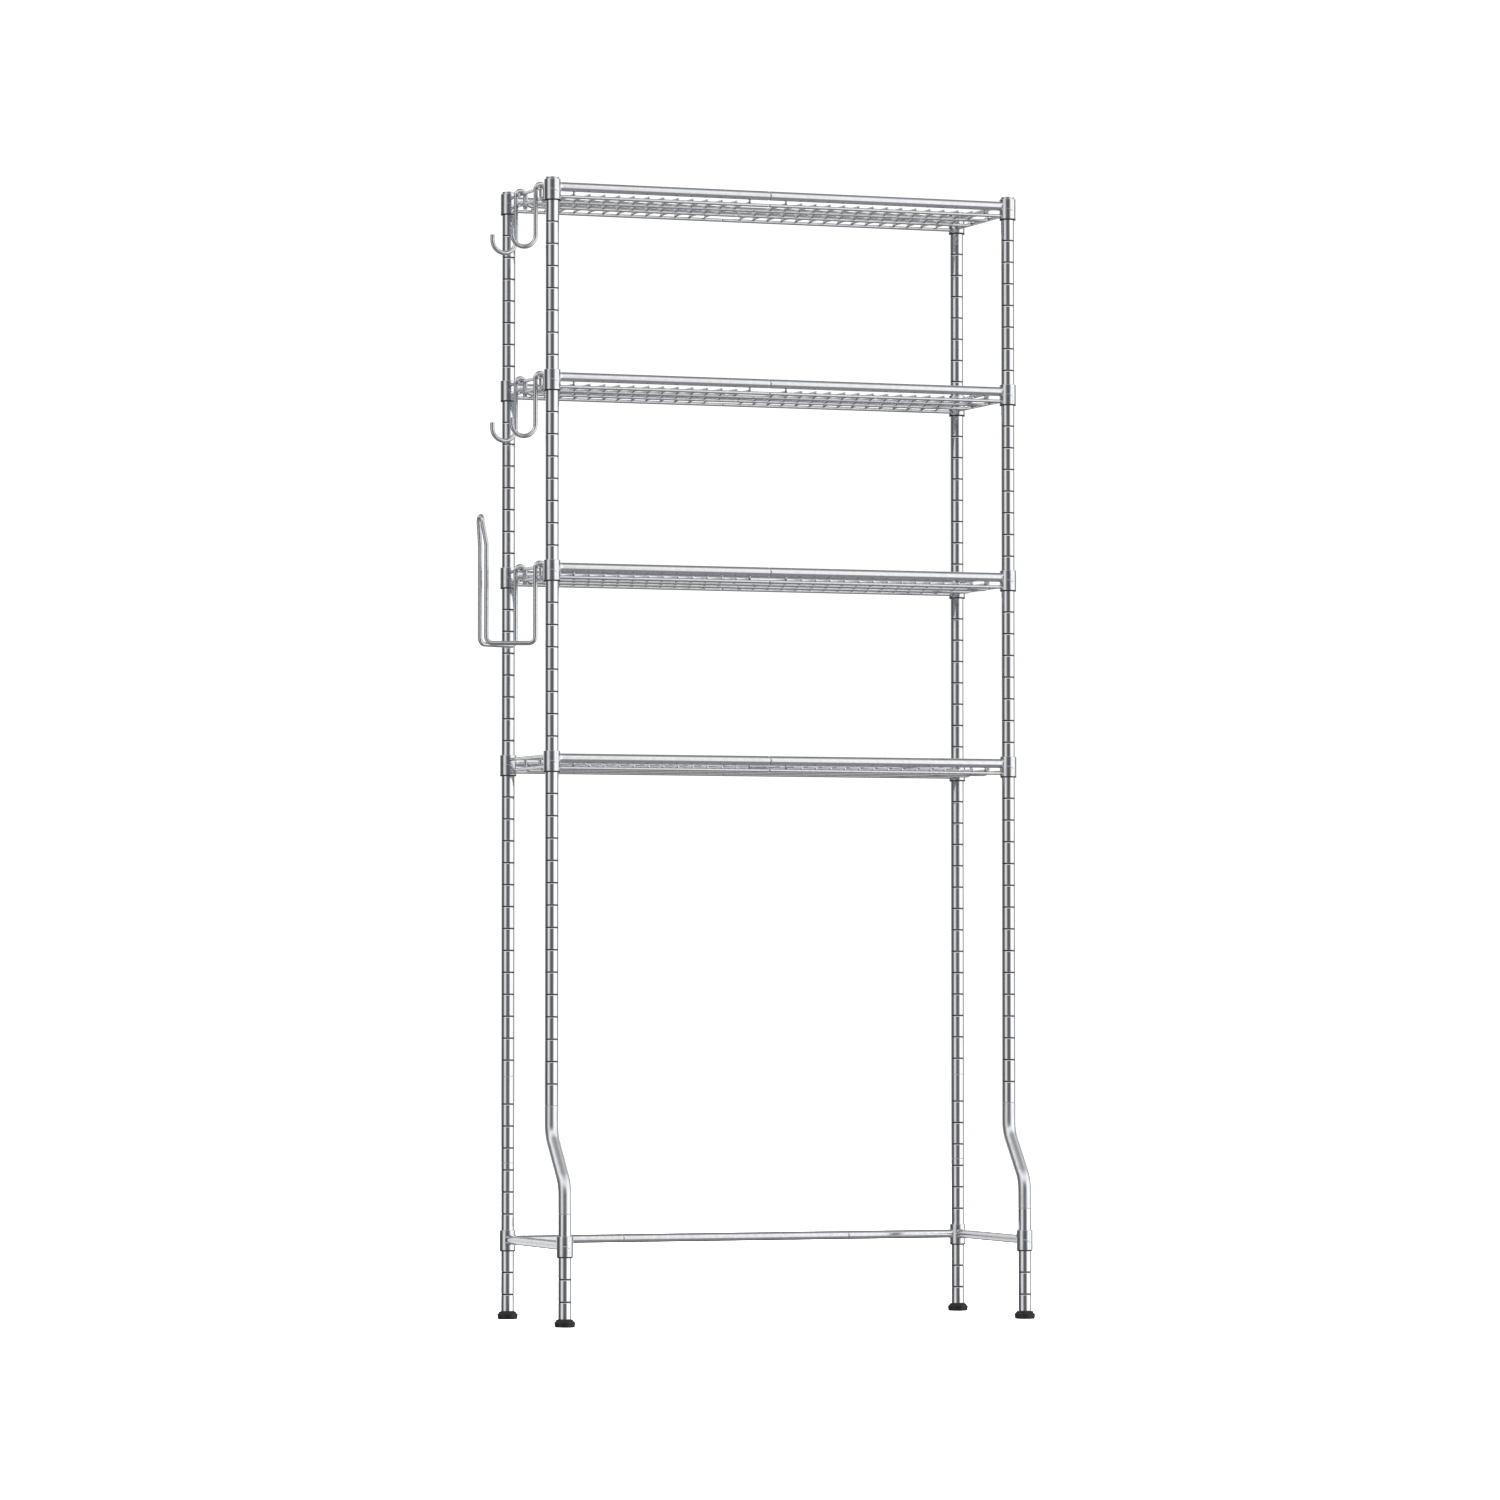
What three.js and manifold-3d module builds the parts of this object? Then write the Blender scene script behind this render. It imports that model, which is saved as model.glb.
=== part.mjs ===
// Four-tier storage rack that stands over a toilet: chromed steel poles that plug together, wire
// tray shelves held on tapered sleeves, a three-piece base frame, side hooks and a roll holder.
// Millimetres, +Z up, front towards -Y, left towards -X. The origin is on the floor, at the
// middle of the rack's own width and depth.
import * as THREE from 'three';
import { mergeVertices } from 'three/addons/utils/BufferGeometryUtils.js';
import Module from 'manifold-3d';

const wasm = await Module();
wasm.setup();

// Layout of the poles
const POLE_SPAN_X = 683;        // left pole axis to right pole axis
const POLE_SPAN_Y = 190;        // front pole axis to rear pole axis
const LEG_STEP = 57;            // how far the front legs stand ahead of the front poles

// Poles: thin steel tube in plug-together sections
const POLE_R = 9.5;
const POLE_WALL = 1;
const SPIGOT_LENGTH = 18;       // necked end that plugs into the section above
const FIT = 0.3;                // radial clearance of every plugged or sleeved fit
const BUTT_GAP = 0.2;           // gap between section ends that meet face to face
const POLE_ABOVE_COLLAR = 1.2;  // pole end above the top shelf's collars

// Knee tube of the front legs and the straight link tube behind it
const KNEE_BOTTOM_Z = 155;
const KNEE_END = 25;            // straight length at each end of the knee tube
const KNEE_BEND_R = 40;
const KNEE_ANGLE = THREE.MathUtils.degToRad(40);
const LINK_BOTTOM_Z = 219;
const LINK_LENGTH = 121;

// Levelling feet and pole caps
const FOOT_BASE_R = 14.2;
const FOOT_DRUM_R = 15;         // the drum widens upwards to here
const FOOT_DRUM_HEIGHT = 7.8;
const FOOT_SHOULDER_R = 13.2;   // where the neck rises from the drum
const FOOT_NECK_R = 11.9;
const FOOT_HEIGHT = 11;
const STUD_R = 3;
const STUD_LENGTH = 17;
const INSERT_LENGTH = 14;       // threaded insert pressed into the bottom of each leg
const CAP_FLANGE = 2;
const CAP_PLUG = 9;
const CAP_DISH_R = 6.5;
const CAP_DISH_DEPTH = 0.9;

// Heights of the shelves and of the base frame, to the underside of their sleeves
const LOWEST_SHELF_Z = 762;
const SHELF_PITCH = 264;
const SHELF_NAMES = ['lower', 'middle', 'upper', 'top'];
const BASE_FRAME_Z = 95;

// Split plastic sleeves and the collars that wedge onto them
const SLEEVE_RIM_HEIGHT = 1.4;
const SLEEVE_SHY = 1.2;         // the sleeve's tip ends this far below the collar's top
const SLEEVE_TIP_WALL = 0.5;
const SLEEVE_TAPER = 0.35;      // growth of the sleeve's radius from its tip to its rim
const SLEEVE_SLOT = 2.5;
const COLLAR_WALL = 0.85;       // at the collar's mouth, where its bore is widest
const COLLAR_HEIGHT = 28;

// Shelf rails, wires and deck; heights are above the underside of the sleeves
const RAIL_R = 6.5;
const RAIL_WALL = 1;
const RAIL_Z = 19.9;
const RAIL_SPIGOT = 20;
const RIM_WIRE_D = 4.8;
const RIM_WIRE_Z = 6.1;
const SIDE_WIRE_D = 4.6;
const SIDE_WIRE_LOW_Z = 8.6;
const SIDE_WIRE_HIGH_Z = 23.3;
const RUNNER_D = 4.6;
const DECK_WIRE_D = 3.4;
const DECK_PITCH = 21.6;
const BRACE_FROM_POLE = 33;     // pole axis to the nearest brace wire
const BRACE_FROM_SEAM = 27;     // seam between the two halves to the nearest brace wire
const SEAM_X = -21;             // the left half is the shorter one
const WELD = 0.3;               // depth that welded wires sink into each other
const REST_GAP = 0.1;           // deck wires clear the runners that they rest on

// Base frame rods
const ROD_R = 6.4;
const ROD_WALL = 1.1;
const ROD_Z = 16;
const ROD_SPIGOT = 15;
const VENT_R = 1.4;

// Side hooks and the spare roll holder
const HOOK_WIRE_D = 6.2;
const HOOK_SLACK = 1.4;         // between the side wire and each leg of the arch over it
const HOOK_FROM_RUNNER = 11.3;  // hooks and holder legs stand this far outside the runners
const HOOK_TAIL = 26;           // arch crest to the end of the short leg
const HOOK_DROP = 71;           // arch crest to the centre of the bottom bend
const HOOK_BEND_R = 17.4;
const HOOK_TIP = 8;
const HANG_GAP = 0.3;           // hook wire to the side wire that it hangs on
const HOLDER_DROP = 112;        // arch crest to the bottom run
const HOLDER_REACH = 62;        // long legs to the spindle
const HOLDER_CORNER = 8;
const SPINDLE_HALF = 13;
const SPINDLE_SHOULDER = 138;   // bottom run to where the spindle narrows
const SPINDLE_HEIGHT = 178;
const SPINDLE_TOP_HALF = 5;
const SPINDLE_LEAN = 4;

const ROUND_SIDES = 10;
const HOOK_SIDES = 6;
const SQUARE_SIDE = Math.sqrt(Math.PI) / 2; // side of the square with a round wire's area, per diameter

const poleBore = POLE_R - POLE_WALL;
const sleeveBore = POLE_R + FIT;
const sleeveTipR = sleeveBore + SLEEVE_TIP_WALL;
const sleeveRootR = sleeveTipR + SLEEVE_TAPER;
const collarR = sleeveRootR + FIT + COLLAR_WALL;
const collarTop = SLEEVE_RIM_HEIGHT + BUTT_GAP + COLLAR_HEIGHT;
const sleeveHeight = collarTop - SLEEVE_SHY;
const poleX = POLE_SPAN_X / 2;
const poleY = POLE_SPAN_Y / 2;
const legY = poleY + LEG_STEP;
const kneeSlope = (LEG_STEP - 2 * KNEE_BEND_R * (1 - Math.cos(KNEE_ANGLE))) / Math.tan(KNEE_ANGLE);
const kneeRise = 2 * KNEE_BEND_R * Math.sin(KNEE_ANGLE) + kneeSlope;
const kneeTopZ = KNEE_BOTTOM_Z + 2 * KNEE_END + kneeRise;
const runnerY = POLE_SPAN_Y / 6;
const hookY = runnerY + HOOK_FROM_RUNNER;
const crossing = SQUARE_SIDE * (RUNNER_D + DECK_WIRE_D) / 2;
const deckZ = RIM_WIRE_Z + SQUARE_SIDE * (RIM_WIRE_D + DECK_WIRE_D) / 2 - WELD;
const runnerZ = deckZ - crossing - REST_GAP;
const braceZ = runnerZ + crossing - WELD;
const shelfZ = SHELF_NAMES.map((name, index) => LOWEST_SHELF_Z + index * SHELF_PITCH);
const poleTopZ = shelfZ.at(-1) + collarTop + POLE_ABOVE_COLLAR;
const poleJointZ = shelfZ[1] + collarTop / 2; // hidden inside the middle shelf's collars

const chrome = { color: 0xd4d6d8, roughness: 0.12, metalness: 1 };
const satinChrome = { color: 0xc3c5c8, roughness: 0.28, metalness: 1 };
const blackPlastic = { color: 0x18191b, roughness: 0.55, metalness: 0 };

const vec = (x, y, z) => new THREE.Vector3(x, y, z);

/** A wire's centre line through a list of points, kept point by point when it is swept. */
class WirePath extends THREE.Curve {
  constructor(points) {
    super();
    this.points = points;
  }

  getPoint(t, target = new THREE.Vector3()) {
    const place = t * (this.points.length - 1);
    const index = Math.min(Math.floor(place), this.points.length - 2);
    return target.lerpVectors(this.points[index], this.points[index + 1], place - index);
  }

  getPointAt(u, target) {
    return this.getPoint(u, target);
  }

  getTangent(t, target = new THREE.Vector3()) {
    const index = Math.round(t * (this.points.length - 1));
    const here = this.points[index];
    const before = this.points[Math.max(index - 1, 0)];
    const after = this.points[Math.min(index + 1, this.points.length - 1)];
    const arriving = here.clone().sub(before).normalize();
    const leaving = after.clone().sub(here).normalize();
    return target.addVectors(arriving, leaving).normalize();
  }

  getTangentAt(u, target) {
    return this.getTangent(u, target);
  }
}

/** Turns a closed three.js geometry into a manifold solid. */
function toSolid(geometry) {
  const bare = geometry.index ? geometry.toNonIndexed() : geometry.clone();
  bare.deleteAttribute('normal');
  bare.deleteAttribute('uv');
  const merged = mergeVertices(bare, 1e-4);
  const corners = merged.index.array;
  const kept = [];
  for (let i = 0; i < corners.length; i += 3) {
    const [a, b, c] = [corners[i], corners[i + 1], corners[i + 2]];
    if (a !== b && b !== c && c !== a) kept.push(a, b, c);
  }
  return new wasm.Manifold(new wasm.Mesh({
    numProp: 3,
    vertProperties: new Float32Array(merged.attributes.position.array),
    triVerts: new Uint32Array(kept),
  }));
}

/** Joins solids, then cuts the second list out of them. */
function joinAndCut(solids, cuts = []) {
  let body = solids[0];
  for (const solid of solids.slice(1)) body = body.add(solid);
  for (const cut of cuts) body = body.subtract(cut);
  return body;
}

/** Solid of revolution about a vertical axis from [radius, height] pairs, outer wall upwards. */
function turned(profile, x = 0, y = 0, z = 0) {
  const points = [...profile, profile[0]].map(([r, h]) => new THREE.Vector2(r, h));
  const geometry = new THREE.LatheGeometry(points, ROUND_SIDES);
  geometry.rotateX(Math.PI / 2);
  geometry.translate(x, y, z);
  return toSolid(geometry);
}

/** Straight round bar between two points. */
function bar(from, to, radius, sides = ROUND_SIDES) {
  const run = to.clone().sub(from);
  const geometry = new THREE.CylinderGeometry(radius, radius, run.length(), sides);
  const turn = new THREE.Quaternion().setFromUnitVectors(new THREE.Vector3(0, 1, 0), run.clone().normalize());
  geometry.applyQuaternion(turn);
  geometry.translate(...from.clone().add(to).multiplyScalar(0.5).toArray());
  return toSolid(geometry);
}

/** Square-section stand-in for a thin round wire that runs straight along one axis. */
function straightWire(from, to, diameter) {
  const side = diameter * SQUARE_SIDE;
  const run = to.clone().sub(from);
  const size = [run.x, run.y, run.z].map((length) => Math.abs(length) || side);
  const geometry = new THREE.BoxGeometry(...size);
  geometry.translate(...from.clone().add(to).multiplyScalar(0.5).toArray());
  return toSolid(geometry);
}

/** Sweeps a regular section with the given number of sides along a list of points. */
function bentWire(points, radius, sides) {
  const section = new THREE.Shape();
  for (let i = 0; i < sides; i += 1) {
    const angle = 2 * Math.PI * i / sides;
    const corner = [radius * Math.cos(angle), radius * Math.sin(angle)];
    if (i === 0) section.moveTo(...corner);
    else section.lineTo(...corner);
  }
  section.closePath();
  const options = { steps: points.length - 1, extrudePath: new WirePath(points), bevelEnabled: false };
  return toSolid(new THREE.ExtrudeGeometry(section, options));
}

/** Plate of even thickness from an outline drawn in the plane of two unit directions. */
function flatBent(outline, centre, along, up, thickness) {
  const shape = new THREE.Shape(outline.map(([a, b]) => new THREE.Vector2(a, b)));
  const geometry = new THREE.ExtrudeGeometry(shape, { depth: thickness, bevelEnabled: false });
  geometry.translate(0, 0, -thickness / 2);
  geometry.applyMatrix4(new THREE.Matrix4().makeBasis(along, up, along.clone().cross(up)));
  geometry.translate(...centre.toArray());
  return toSolid(geometry);
}

/** Brace wire at the end of a deck, welded to the runners, with both ends turned up to the rails. */
function braceWire(x, halfLength, low, top) {
  const half = DECK_WIRE_D * SQUARE_SIDE / 2;
  const out = halfLength + half;
  const into = halfLength - half;
  const outline = [[-out, top], [-out, low - half], [out, low - half], [out, top],
    [into, top], [into, low + half], [-into, low + half], [-into, top]];
  return flatBent(outline, vec(x, 0, 0), vec(0, 1, 0), vec(0, 0, 1), 2 * half);
}

/** Runner under the deck wires, turned up at its pole end to the side wires. */
function runner(y, seamEnd, upX, low, top, side) {
  const half = RUNNER_D * SQUARE_SIDE / 2;
  const out = upX + side * half;
  const into = upX - side * half;
  const outline = [[seamEnd, low - half], [out, low - half], [out, top],
    [into, top], [into, low + half], [seamEnd, low + half]];
  return flatBent(outline, vec(0, y, 0), vec(1, 0, 0), vec(0, 0, 1), 2 * half);
}

/** Points on an arc in the plane of two unit directions, from one angle to another. */
function arc(centre, radius, along, up, start, end, steps) {
  const points = [];
  for (let i = 0; i <= steps; i += 1) {
    const angle = start + (end - start) * i / steps;
    const point = centre.clone().addScaledVector(along, radius * Math.cos(angle));
    points.push(point.addScaledVector(up, radius * Math.sin(angle)));
  }
  return points;
}

/** Replaces each inner corner of a route by three points of a rounded bend. */
function softened(route, cut) {
  const points = [route[0]];
  for (let i = 1; i < route.length - 1; i += 1) {
    const start = route[i].clone().lerp(route[i - 1], Math.min(1, cut / route[i].distanceTo(route[i - 1])));
    const end = route[i].clone().lerp(route[i + 1], Math.min(1, cut / route[i].distanceTo(route[i + 1])));
    const middle = start.clone().add(end).multiplyScalar(0.29).addScaledVector(route[i], 0.42);
    points.push(start, middle, end);
  }
  points.push(route.at(-1));
  return points;
}

/** Makes the named mesh of one piece. */
function piece(name, solid, finish) {
  const data = solid.getMesh();
  const geometry = new THREE.BufferGeometry();
  geometry.setAttribute('position', new THREE.Float32BufferAttribute(data.vertProperties, 3));
  geometry.setIndex([...data.triVerts]);
  geometry.computeVertexNormals();
  const mesh = new THREE.Mesh(geometry, new THREE.MeshStandardMaterial(finish));
  mesh.name = name;
  return mesh;
}

/** Collar that wedges onto a sleeve: its outer solid and its tapered bore. */
function collar(x, y, z) {
  const bottom = z + SLEEVE_RIM_HEIGHT + BUTT_GAP;
  const top = bottom + COLLAR_HEIGHT;
  const outer = turned([[0, bottom], [collarR, bottom], [collarR, top], [0, top]], x, y);
  const rootR = sleeveRootR + FIT;
  const tipR = sleeveTipR + FIT;
  const bore = turned([[0, bottom - 1], [rootR, bottom - 1], [rootR, bottom], [tipR, top], [tipR, top + 1],
    [0, top + 1]], x, y);
  return { outer, bore };
}

/** Split tapered sleeve with the thin rim that shows under the collar. */
function sleeve(x, y, z, side) {
  const rimR = collarR - FIT;
  const ring = turned([[sleeveBore, 0], [rimR, 0], [rimR, SLEEVE_RIM_HEIGHT],
    [sleeveRootR, SLEEVE_RIM_HEIGHT], [sleeveTipR, sleeveHeight], [sleeveBore, sleeveHeight]], x, y, z);
  const slot = new THREE.BoxGeometry(collarR, SLEEVE_SLOT, 2 * sleeveHeight);
  slot.translate(x + side * (sleeveBore + collarR / 2 - POLE_WALL), y, z + sleeveHeight);
  return ring.subtract(toSolid(slot));
}

/** Straight pole section; a necked spigot on top plugs into the section above. */
function poleSection(x, y, bottom, top, { spigot, insert }) {
  const neckR = poleBore - FIT;
  const profile = [];
  if (insert) profile.push([STUD_R + FIT, bottom], [POLE_R, bottom]);
  else profile.push([poleBore, bottom], [POLE_R, bottom]);
  if (spigot) {
    profile.push([POLE_R, top], [neckR, top], [neckR, top + SPIGOT_LENGTH]);
    profile.push([neckR - POLE_WALL, top + SPIGOT_LENGTH], [neckR - POLE_WALL, top - POLE_WALL]);
    profile.push([poleBore, top - POLE_WALL]);
  } else {
    profile.push([POLE_R, top], [poleBore, top]);
  }
  if (insert) profile.push([poleBore, bottom + INSERT_LENGTH], [STUD_R + FIT, bottom + INSERT_LENGTH]);
  return turned(profile, x, y);
}

/** Smooth bent tube that carries the load forward from a front pole to its leg. */
function kneeTube(x) {
  const up = vec(0, 0, 1);
  const back = vec(0, 1, 0);
  const swing = KNEE_ANGLE;
  const lowStart = KNEE_BOTTOM_Z + KNEE_END;
  const highEnd = kneeTopZ - KNEE_END;
  const low = arc(vec(x, -legY + KNEE_BEND_R, lowStart), KNEE_BEND_R, back, up, Math.PI, Math.PI - swing, 2);
  const high = arc(vec(x, -poleY - KNEE_BEND_R, highEnd), KNEE_BEND_R, back, up, -swing, 0, 2);
  const line = [...low, ...high];
  const ends = (reach) => [vec(x, -legY, KNEE_BOTTOM_Z - reach), ...line, vec(x, -poleY, kneeTopZ + reach)];
  const outer = bentWire(ends(0), POLE_R, ROUND_SIDES);
  const inner = bentWire(ends(1), poleBore, ROUND_SIDES);
  const neckR = poleBore - FIT;
  const ledgeR = POLE_R - POLE_WALL / 2;
  const neck = turned([[neckR - POLE_WALL, kneeTopZ - POLE_WALL], [ledgeR, kneeTopZ - POLE_WALL],
    [ledgeR, kneeTopZ], [neckR, kneeTopZ], [neckR, kneeTopZ + SPIGOT_LENGTH],
    [neckR - POLE_WALL, kneeTopZ + SPIGOT_LENGTH]], x, -poleY);
  return outer.subtract(inner).add(neck);
}

/** Levelling foot: a drum, its neck and the stud that screws into the leg. */
function foot(x, y) {
  const top = FOOT_HEIGHT + STUD_LENGTH;
  return turned([[0, 0], [FOOT_BASE_R, 0], [FOOT_DRUM_R, FOOT_DRUM_HEIGHT],
    [FOOT_SHOULDER_R, FOOT_DRUM_HEIGHT], [FOOT_NECK_R, FOOT_HEIGHT], [STUD_R, FOOT_HEIGHT],
    [STUD_R, top], [0, top]], x, y);
}

/** Dished cap whose plug closes the pole's open top. */
function poleCap(x, y) {
  const seat = poleTopZ + BUTT_GAP;
  const plugR = poleBore - FIT;
  const dish = seat + CAP_FLANGE - CAP_DISH_DEPTH;
  return turned([[0, seat - CAP_PLUG], [plugR, seat - CAP_PLUG], [plugR, seat], [POLE_R, seat],
    [POLE_R, seat + CAP_FLANGE], [CAP_DISH_R, seat + CAP_FLANGE], [CAP_DISH_R, dish], [0, dish]], x, y);
}

/** Hollow rail of a half shelf with its plug-in end at the seam; returns solids and cuts. */
function rail(y, z, poleEnd, seamEnd, side) {
  const bore = RAIL_R - RAIL_WALL;
  const closed = vec(poleEnd - side * collarR, y, z);
  const seam = vec(seamEnd, y, z);
  const solids = [bar(vec(poleEnd, y, z), seam, RAIL_R)];
  const cuts = [bar(closed, vec(seamEnd - side, y, z), bore)];
  if (side > 0) {
    const tip = vec(seamEnd - RAIL_SPIGOT, y, z);
    const spigot = bar(vec(seamEnd + RAIL_WALL, y, z), tip, bore - FIT);
    const plug = bar(vec(seamEnd + RAIL_WALL, y, z), seam, bore + RAIL_WALL / 2);
    const past = vec(tip.x - RAIL_WALL, y, z);
    const through = bar(vec(seamEnd + 2 * RAIL_WALL, y, z), past, bore - FIT - RAIL_WALL);
    return { solids, cuts, plugs: [spigot, plug], through: [through] };
  }
  return { solids, cuts, plugs: [], through: [] };
}

/**
 * One welded half of a tray shelf: two collars, rails, rim wires, side wires, runners, braces and deck.
 * It is made at height 0 and its mesh is raised to the shelf's height.
 */
function halfShelf(side) {
  const poleEnd = side * poleX;
  const seamEnd = SEAM_X + side * BUTT_GAP / 2;
  const solids = [];
  const cuts = [];
  const plugs = [];
  const through = [];
  for (const y of [-poleY, poleY]) {
    const seat = collar(poleEnd, y, 0);
    const tube = rail(y, RAIL_Z, poleEnd, seamEnd, side);
    solids.push(seat.outer, ...tube.solids);
    solids.push(straightWire(vec(poleEnd, y, RIM_WIRE_Z), vec(seamEnd, y, RIM_WIRE_Z), RIM_WIRE_D));
    cuts.push(seat.bore, ...tube.cuts);
    plugs.push(...tube.plugs);
    through.push(...tube.through);
  }
  for (const height of [SIDE_WIRE_LOW_Z, SIDE_WIRE_HIGH_Z]) {
    solids.push(straightWire(vec(poleEnd, -poleY, height), vec(poleEnd, poleY, height), SIDE_WIRE_D));
  }
  const runnerX = poleEnd - side * (SQUARE_SIDE * (SIDE_WIRE_D + RUNNER_D) / 2 - WELD);
  const runnerTop = SIDE_WIRE_HIGH_Z + SIDE_WIRE_D / 2 - WELD;
  for (const y of [-runnerY, runnerY]) {
    solids.push(runner(y, seamEnd, runnerX, runnerZ, runnerTop, side));
  }
  const first = SEAM_X + side * BRACE_FROM_SEAM;
  const last = poleEnd - side * BRACE_FROM_POLE;
  const gaps = Math.round(Math.abs(last - first) / DECK_PITCH);
  const braceHalf = poleY - (SQUARE_SIDE * (RIM_WIRE_D + DECK_WIRE_D) / 2 - WELD);
  const braceTop = RAIL_Z - RAIL_R - FIT;
  const deckHalf = poleY + DECK_WIRE_D / 2;
  for (let i = 0; i <= gaps; i += 1) {
    const x = first + (last - first) * i / gaps;
    if (i === 0 || i === gaps) {
      solids.push(braceWire(x, braceHalf, braceZ, braceTop));
    } else {
      solids.push(straightWire(vec(x, -deckHalf, deckZ), vec(x, deckHalf, deckZ), DECK_WIRE_D));
    }
  }
  return joinAndCut([joinAndCut(solids, cuts), ...plugs], through);
}

/** Base frame side: a rod from the rear collar to the front collar, and a stub of the rear rod. */
function baseSide(side) {
  const x = side * poleX;
  const z = BASE_FRAME_Z + ROD_Z;
  const stubX = side * POLE_SPAN_X / 4;
  const bore = ROD_R - ROD_WALL;
  const rearSeat = collar(x, poleY, BASE_FRAME_Z);
  const frontSeat = collar(x, -legY, BASE_FRAME_Z);
  const rod = bar(vec(x, -legY, z), vec(x, poleY, z), ROD_R);
  const rodBore = bar(vec(x, -legY + collarR, z), vec(x, poleY - collarR, z), bore);
  const stub = bar(vec(x, poleY, z), vec(stubX, poleY, z), ROD_R);
  const stubBore = bar(vec(x - side * collarR, poleY, z), vec(stubX - side, poleY, z), bore);
  const ventY = -legY + 2 * collarR;
  const vent = bar(vec(x, ventY, z), vec(x, ventY, z - 2 * ROD_R), VENT_R, HOOK_SIDES);
  return joinAndCut(
    [rearSeat.outer, frontSeat.outer, rod, stub],
    [rearSeat.bore, frontSeat.bore, rodBore, stubBore, vent],
  );
}

/** Middle length of the rear base rod, necked at both ends to plug into the two stubs. */
function baseRearRod() {
  const z = BASE_FRAME_Z + ROD_Z;
  const half = POLE_SPAN_X / 4 - BUTT_GAP;
  const neck = ROD_R - ROD_WALL - FIT;
  const rod = bar(vec(-half, poleY, z), vec(half, poleY, z), ROD_R);
  const necks = bar(vec(-half - ROD_SPIGOT, poleY, z), vec(half + ROD_SPIGOT, poleY, z), neck);
  const through = bar(
    vec(-half - ROD_SPIGOT - 1, poleY, z),
    vec(half + ROD_SPIGOT + 1, poleY, z),
    neck - ROD_WALL,
  );
  return rod.add(necks).subtract(through);
}

const archR = (SIDE_WIRE_D + HOOK_WIRE_D) / 2 + HOOK_SLACK;
const archCrest = SIDE_WIRE_HIGH_Z + (SIDE_WIRE_D + HOOK_WIRE_D) / 2 + HANG_GAP;

/** The tail and the arch over the left side wire, as points from the tail's end outwards. */
function hangingArch(y, z) {
  const crest = z + archCrest;
  const arch = arc(vec(-poleX, y, crest - archR), archR, vec(1, 0, 0), vec(0, 0, 1), 0, Math.PI, 6);
  return [vec(-poleX + archR, y, crest - HOOK_TAIL), ...arch];
}

/** Side hook: an arch over the side wire, a long leg and an upturned end. */
function sideHook(y, z) {
  const crest = z + archCrest;
  const legX = -poleX - archR;
  const bend = vec(legX - HOOK_BEND_R, y, crest - HOOK_DROP);
  const points = [
    ...hangingArch(y, z),
    ...arc(bend, HOOK_BEND_R, vec(1, 0, 0), vec(0, 0, 1), 0, -Math.PI, 6),
    vec(bend.x - HOOK_BEND_R, y, bend.z + HOOK_TIP),
  ];
  return bentWire(points, HOOK_WIRE_D / 2, HOOK_SIDES);
}

/** Spare roll holder: one wire from a rear tail, round the spindle and back to a front tail. */
function rollHolder(z) {
  const low = z + archCrest - HOLDER_DROP;
  const legX = -poleX - archR;
  const spindleX = legX - HOLDER_REACH;
  const route = (sign) => softened([
    vec(legX, sign * hookY, z + archCrest - 2 * archR),
    vec(legX, sign * hookY, low),
    vec(spindleX, sign * SPINDLE_HALF, low),
    vec(spindleX, sign * SPINDLE_HALF, low + SPINDLE_SHOULDER),
    vec(spindleX - SPINDLE_LEAN, sign * SPINDLE_TOP_HALF, low + SPINDLE_HEIGHT - SPINDLE_TOP_HALF),
  ], HOLDER_CORNER);
  const crown = arc(
    vec(spindleX - SPINDLE_LEAN, 0, low + SPINDLE_HEIGHT - SPINDLE_TOP_HALF),
    SPINDLE_TOP_HALF, vec(0, 1, 0), vec(0, 0, 1), 0, Math.PI, 4,
  );
  const rear = [...hangingArch(hookY, z), ...route(1).slice(1, -1)];
  const front = [...hangingArch(-hookY, z), ...route(-1).slice(1, -1)];
  return bentWire([...rear, ...crown, ...front.reverse()], HOOK_WIRE_D / 2, HOOK_SIDES);
}

const rack = new THREE.Group();
rack.name = 'over_toilet_rack';
const sides = { left: -1, right: 1 };
const rows = { front: -1, rear: 1 };

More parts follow.
